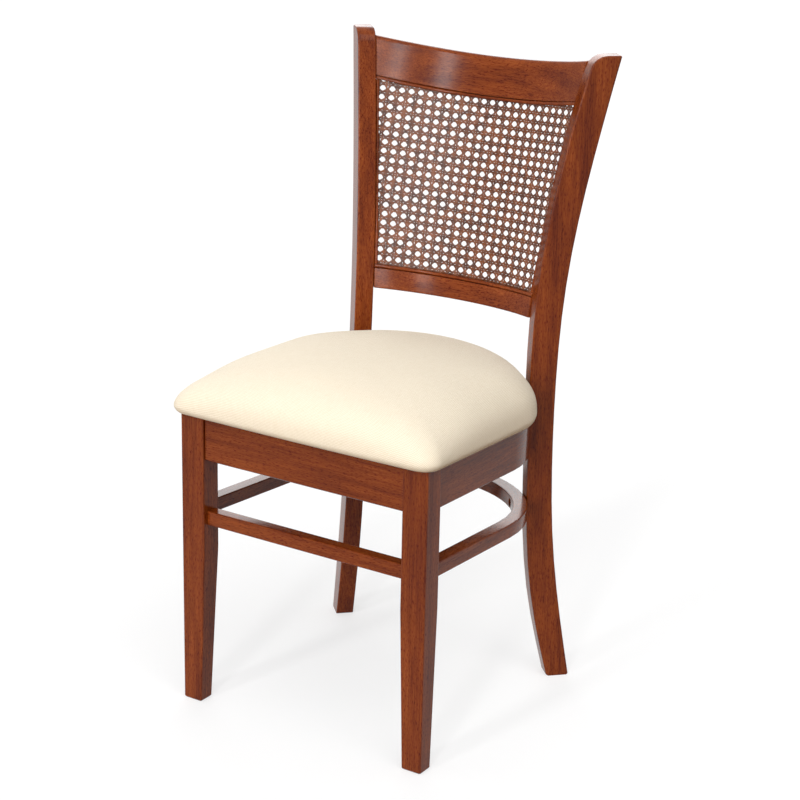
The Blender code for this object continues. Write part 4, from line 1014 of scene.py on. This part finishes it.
    def swell_cloth(self, piece: Object, free_from: int) -> None:
        """Blow the cover out over the foam with a cloth simulation, held along its foot.

        Args:
            piece: The cushion, drawn in a little from its final size.
            free_from: Number of the first vertex that is free to move.
        """
        before = np.array([vertex.co for vertex in piece.data.vertices])
        cloth = self.add_cloth(piece, free_from)
        for frame in range(1, self.cloth_frames + 1):
            bpy.context.scene.frame_set(frame)
        shown = piece.evaluated_get(bpy.context.evaluated_depsgraph_get())
        after = np.array([vertex.co for vertex in shown.data.vertices])
        piece.modifiers.remove(cloth)
        bpy.context.scene.frame_set(1)
        normals = np.array([vertex.normal for vertex in piece.data.vertices])
        rise = np.clip(np.einsum("ij,ij->i", after - before, normals), 0, self.cloth_cap)
        average = float(rise[free_from:].mean())
        LOG.info("cover rose %.1f mm at most, %.1f mm on average", rise.max() / MM, average / MM)
        rise *= self.swell / max(average, self.least_rise)
        rise = self.even_out(np.minimum(rise, self.cloth_cap), free_from)
        piece.data.vertices.foreach_set("co", (before + normals * rise[:, None]).ravel())
        piece.data.update()

    def even_out(self, rise: np.ndarray, free_from: int) -> np.ndarray:
        """Spread the rise of the cover over its neighbourhood, so that it pulls taut.

        Args:
            rise: How far each vertex rose.
            free_from: Number of the first vertex that is free to move.

        Returns:
            The evened rise of each vertex.
        """
        count = len(self.outline())
        grid = rise[:-1].reshape(-1, count)
        for _ in range(self.even_passes):
            outer = np.vstack([grid[:1], grid[:-1]])
            inner = np.vstack([grid[1:], np.full((1, count), grid[-1].mean())])
            grid = (outer + inner + np.roll(grid, 1, axis=1) + np.roll(grid, -1, axis=1)) / 4
            grid[:free_from // count] = 0
        return np.append(grid.ravel(), grid[-1].mean())

    def build(self, surface: Material) -> Object:
        """Make the cushion.

        Args:
            surface: The cloth's material.

        Returns:
            The padded piece, which stands for the CAD cushion.
        """
        rings = self.rings()
        count = len(rings[0])
        points = [point for ring in rings for point in ring]
        points.append(tuple(np.mean(rings[-1], axis=0)))
        last = (len(rings) - 1) * count
        faces = [tuple(reversed(range(count)))]
        for first in range(0, last, count):
            faces += join_rings(first, first + count, count)
        faces += [(last + corner, last + (corner + 1) % count, len(points) - 1) for corner in range(count)]
        piece = add_piece("seat_upholstery", points, faces, surface, ("seat_cushion",))
        self.lay_threads(piece.data, rings)
        free_from = (len(rings) - self.dome_steps - 1) * count
        self.draw_back(piece, free_from)
        self.swell_cloth(piece, free_from)
        finer = piece.modifiers.new("finer", "SUBSURF")
        finer.levels = self.subdivisions
        finer.render_levels = self.subdivisions
        return piece


@dataclass
class DustCover:
    """Black felt stretched flat under the seat board."""

    node: Object
    sag: float = 0.15 * MM
    ring_shares: tuple[float, ...] = (1.0, 0.93, 0.8, 0.6, 0.4, 0.2)
    rim_share: float = 0.7
    rim_window: float = 0.2
    turn_digits: int = 4

    def edge_reach(self, offsets: np.ndarray, reach: np.ndarray) -> np.ndarray:
        """Reach of the rim in each point's direction, by the farthest point near that direction."""
        turns = np.arctan2(offsets[:, 1], offsets[:, 0])
        return np.array([reach[np.abs(turns - turn) < self.rim_window].max() for turn in turns])

    def rim(self, corners: np.ndarray, middle_y: float) -> np.ndarray:
        """Find the outline of the CAD sheet.

        Args:
            corners: Vertices of the CAD sheet.
            middle_y: Middle of the sheet, front to back.

        Returns:
            The outline's points, in order round the middle.
        """
        offsets = corners[:, :2] - np.array([0.0, middle_y])
        reach = np.linalg.norm(offsets, axis=1)
        rim = corners[reach > self.rim_share * self.edge_reach(offsets, reach)]
        turns = np.round(np.arctan2(rim[:, 1] - middle_y, rim[:, 0]), self.turn_digits)
        order = sorted({turn: point for turn, point in zip(turns, rim.tolist())}.items())
        return np.array([point for _, point in order])

    def build(self, surface: Material) -> Object:
        """Make the sheet from the outline of the CAD sheet.

        Args:
            surface: The felt's material.

        Returns:
            The sheet, which stands for the CAD dust cover.
        """
        corners = np.array([vertex.co for vertex in self.node.data.vertices])
        low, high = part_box(self.node.name)
        middle_y = (low[1] + high[1]) / 2
        outline = self.rim(corners, middle_y)
        slope, level = np.polyfit(corners[:, 1], corners[:, 2], 1)
        thickness = float(np.abs(corners[:, 2] - slope * corners[:, 1] - level).max())
        points, faces, count = [], [], len(outline)
        for side, shares in ((thickness, self.ring_shares), (-thickness, self.ring_shares[::-1])):
            for share in shares:
                for x, y, _ in outline:
                    px, py = x * share, middle_y + (y - middle_y) * share
                    points.append((px, py, slope * py + level + side - self.sag * (1 - share ** 2)))
        inmost = len(self.ring_shares) - 1
        rings = 2 * len(self.ring_shares)
        for ring in range(rings):
            if ring != inmost:
                faces += join_rings(ring * count, (ring + 1) % rings * count, count)
        inner = inmost * count
        faces.append(tuple(range(inner, inner + count)))
        faces.append(tuple(reversed(range(inner + count, inner + 2 * count))))
        piece = add_piece("felt_dust_cover", points, faces, surface, (self.node.name,))
        x, y = outline[:, 0], outline[:, 1]
        return piece


@dataclass(frozen=True)
class Softbox:
    """A rectangular softbox far off in the studio's sky."""

    azimuth_deg: float
    elevation_deg: float
    half_width_deg: float
    half_height_deg: float
    strength: float
    soft_share: float = 0.3

    def axes(self) -> tuple[Vector, Vector, Vector]:
        """Find how the box lies in the sky.

        Returns:
            Directions to its right side, to its upper side and to its middle.
        """
        turn, rise = math.radians(self.azimuth_deg), math.radians(self.elevation_deg)
        ahead = Vector((math.cos(turn) * math.cos(rise), math.sin(turn) * math.cos(rise), math.sin(rise)))
        right = Vector((math.sin(turn), -math.cos(turn), 0))
        return right, right.cross(ahead), ahead

    def glow(self, tree: NodeTree, direction: NodeSocket) -> NodeSocket:
        """Light of the box in a direction.

        Args:
            tree: Node tree of the world.
            direction: Direction looked in.

        Returns:
            Strength socket, 0 outside the box.
        """
        right, up, ahead = self.axes()
        dot = add_node(tree, VECTOR_MATH, {0: direction, 1: ahead}, operation="DOT_PRODUCT")
        facing = dot.outputs["Value"]
        share = add_node(tree, MATH, {0: facing, 1: 0.0}, operation="GREATER_THAN")
        total = add_node(tree, MATH, {0: share, 1: self.strength}, operation="MULTIPLY")
        for axis, half_deg in ((right, self.half_width_deg), (up, self.half_height_deg)):
            aside = add_node(tree, VECTOR_MATH, {0: direction, 1: axis}, operation="DOT_PRODUCT")
            slope = add_node(tree, MATH, {0: aside.outputs["Value"], 1: facing}, operation="DIVIDE")
            size = add_node(tree, MATH, {0: slope}, operation="ABSOLUTE")
            edge = math.tan(math.radians(half_deg))
            within = add_node(tree, "ShaderNodeMapRange",
                              {"Value": size, "From Min": edge * (1 + self.soft_share),
                               "From Max": edge * (1 - self.soft_share)}, interpolation_type="SMOOTHSTEP")
            total = add_node(tree, MATH, {0: total, 1: within}, operation="MULTIPLY")
        return total.outputs[0]


@dataclass
class Studio:
    """White ground, a soft sky with softboxes, and the camera at the photograph's view."""

    front_y: float
    camera_place: tuple[float, float, float] = (1.4930, -2.0706, 1.3262)
    azimuth_deg: float = 32.92
    elevation_deg: float = 18.37
    roll_deg: float = 1.239
    lens_mm: float = 94.5
    sensor_mm: float = 36.0
    clip_start: float = 0.05
    clip_end: float = 200.0
    sky: float = 0.18
    softboxes: tuple[Softbox, ...] = (
        Softbox(0.0, 88.0, 42.0, 42.0, 0.60),
        Softbox(-38.0, 50.0, 24.0, 20.0, 2.2),
        Softbox(-76.0, 14.0, 2.8, 24.0, 18.0),
        Softbox(-99.0, 14.0, 3.2, 24.0, 17.0),
        Softbox(200.0, 30.0, 25.0, 25.0, 0.2),
        Softbox(126.0, 20.0, 24.0, 12.0, 3.4),
    )
    floor_reach: float = 60.0
    floor_glow_share: float = 0.6
    floor_bounce: str = "8C765F"

    def build(self) -> None:
        """Make the camera, the floor and the sky."""
        self.build_camera()
        self.build_floor()
        self.build_sky()

    def build_camera(self) -> None:
        """Set the camera with the measured direction and roll."""
        data = bpy.data.cameras.new("photo_camera")
        data.lens = self.lens_mm
        data.sensor_width = self.sensor_mm
        data.clip_start = self.clip_start
        data.clip_end = self.clip_end
        camera = bpy.data.objects.new("photo_camera", data)
        angles = (self.azimuth_deg, self.elevation_deg, self.roll_deg)
        turn, rise, roll = (math.radians(angle) for angle in angles)
        ahead = Vector((-math.sin(turn) * math.cos(rise), math.cos(turn) * math.cos(rise), -math.sin(rise)))
        right = Vector((math.cos(turn), math.sin(turn), 0))
        up = right.cross(ahead)
        image_right = right * math.cos(roll) + up * math.sin(roll)
        image_up = up * math.cos(roll) - right * math.sin(roll)
        basis = Matrix((image_right, image_up, -ahead)).transposed()
        place = Vector(self.camera_place) + Vector((0, self.front_y, 0))
        camera.matrix_world = Matrix.Translation(place) @ basis.to_4x4()
        bpy.context.scene.collection.objects.link(camera)
        bpy.context.scene.camera = camera

    def background_rays(self, tree: NodeTree) -> NodeSocket:
        """Tell the rays that show the white background from those that light the chair.

        Args:
            tree: Node tree to add to.

        Returns:
            Socket that is 1 for camera, glossy and transmission rays, and 0 for others.
        """
        path = add_node(tree, "ShaderNodeLightPath")
        seen = path.outputs["Is Camera Ray"]
        for ray in ("Is Glossy Ray", "Is Transmission Ray"):
            seen = add_node(tree, MATH, {0: seen, 1: path.outputs[ray]}, operation="MAXIMUM").outputs[0]
        return seen

    def build_floor(self) -> None:
        """Make a wide white floor that keeps the chair's soft shadow."""
        mesh = bpy.data.meshes.new("studio_floor")
        signs = ((-1, -1), (1, -1), (1, 1), (-1, 1))
        corners = [(x * self.floor_reach, y * self.floor_reach, 0) for x, y in signs]
        mesh.from_pydata(corners, [], [(0, 1, 2, 3)])
        floor = bpy.data.objects.new("studio_floor", mesh)
        bpy.context.scene.collection.objects.link(floor)
        material = bpy.data.materials.new("white_floor")
        material.use_nodes = True
        tree = material.node_tree
        tree.nodes.clear()
        paint = add_node(tree, "ShaderNodeBsdfDiffuse", {"Color": linear(WHITE)})
        glow = add_node(tree, "ShaderNodeEmission", {"Color": linear(WHITE), "Strength": 1.0})
        shown = add_node(tree, "ShaderNodeMixShader", {0: self.floor_glow_share, 1: paint, 2: glow})
        bounce = add_node(tree, "ShaderNodeBsdfDiffuse", {"Color": linear(self.floor_bounce)})
        ground = add_node(tree, "ShaderNodeMixShader", {0: self.background_rays(tree), 1: bounce, 2: shown})
        add_node(tree, "ShaderNodeOutputMaterial", {0: ground})
        mesh.materials.append(material)

    def build_sky(self) -> None:
        """Light the scene with a soft sky and its softboxes."""
        world = bpy.data.worlds.new("studio_sky")
        bpy.context.scene.world = world
        world.use_nodes = True
        tree = world.node_tree
        direction = add_node(tree, "ShaderNodeTexCoord").outputs["Generated"]
        total = add_node(tree, "ShaderNodeValue")
        total.outputs[0].default_value = self.sky
        for box in self.softboxes:
            total = add_node(tree, MATH, {0: total, 1: box.glow(tree, direction)}, operation="ADD")
        white = add_node(tree, MATH, {0: total, 1: 1.0}, operation="MAXIMUM")
        seen = self.background_rays(tree)
        shown = add_node(tree, MIX, {MIX_SHARE: seen, NUMBER_A: total, NUMBER_B: white}, data_type="FLOAT")
        set_inputs(tree, tree.nodes["Background"],
                   {"Strength": shown.outputs[NUMBER_OUT], "Color": linear(WHITE)})


def main() -> None:
    """Build the studio and dress the chair."""
    logging.basicConfig(level=logging.INFO, format="%(message)s")
    bpy.context.scene.view_settings.view_transform = "Standard"
    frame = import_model()
    nodes = frame["nodes"]
    front_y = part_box("front_leg_right")[0][1]
    plan = SeatPlan()
    Studio(front_y).build()
    wood = WoodenFrame(nodes, front_y + plan.straight_end)
    wood.build()
    wood.dress()
    back = CurvedBack(front_y)
    back.take_side_limit(nodes["cane_panel"])
    CanePanel(back).build(LacqueredCane().surface())
    SeatCushion(plan, front_y).build(CreamWeave("cream_weave").surface())
    DustCover(nodes["dust_cover"]).build(BlackFelt().surface())


if __name__ == "__main__":
    main()
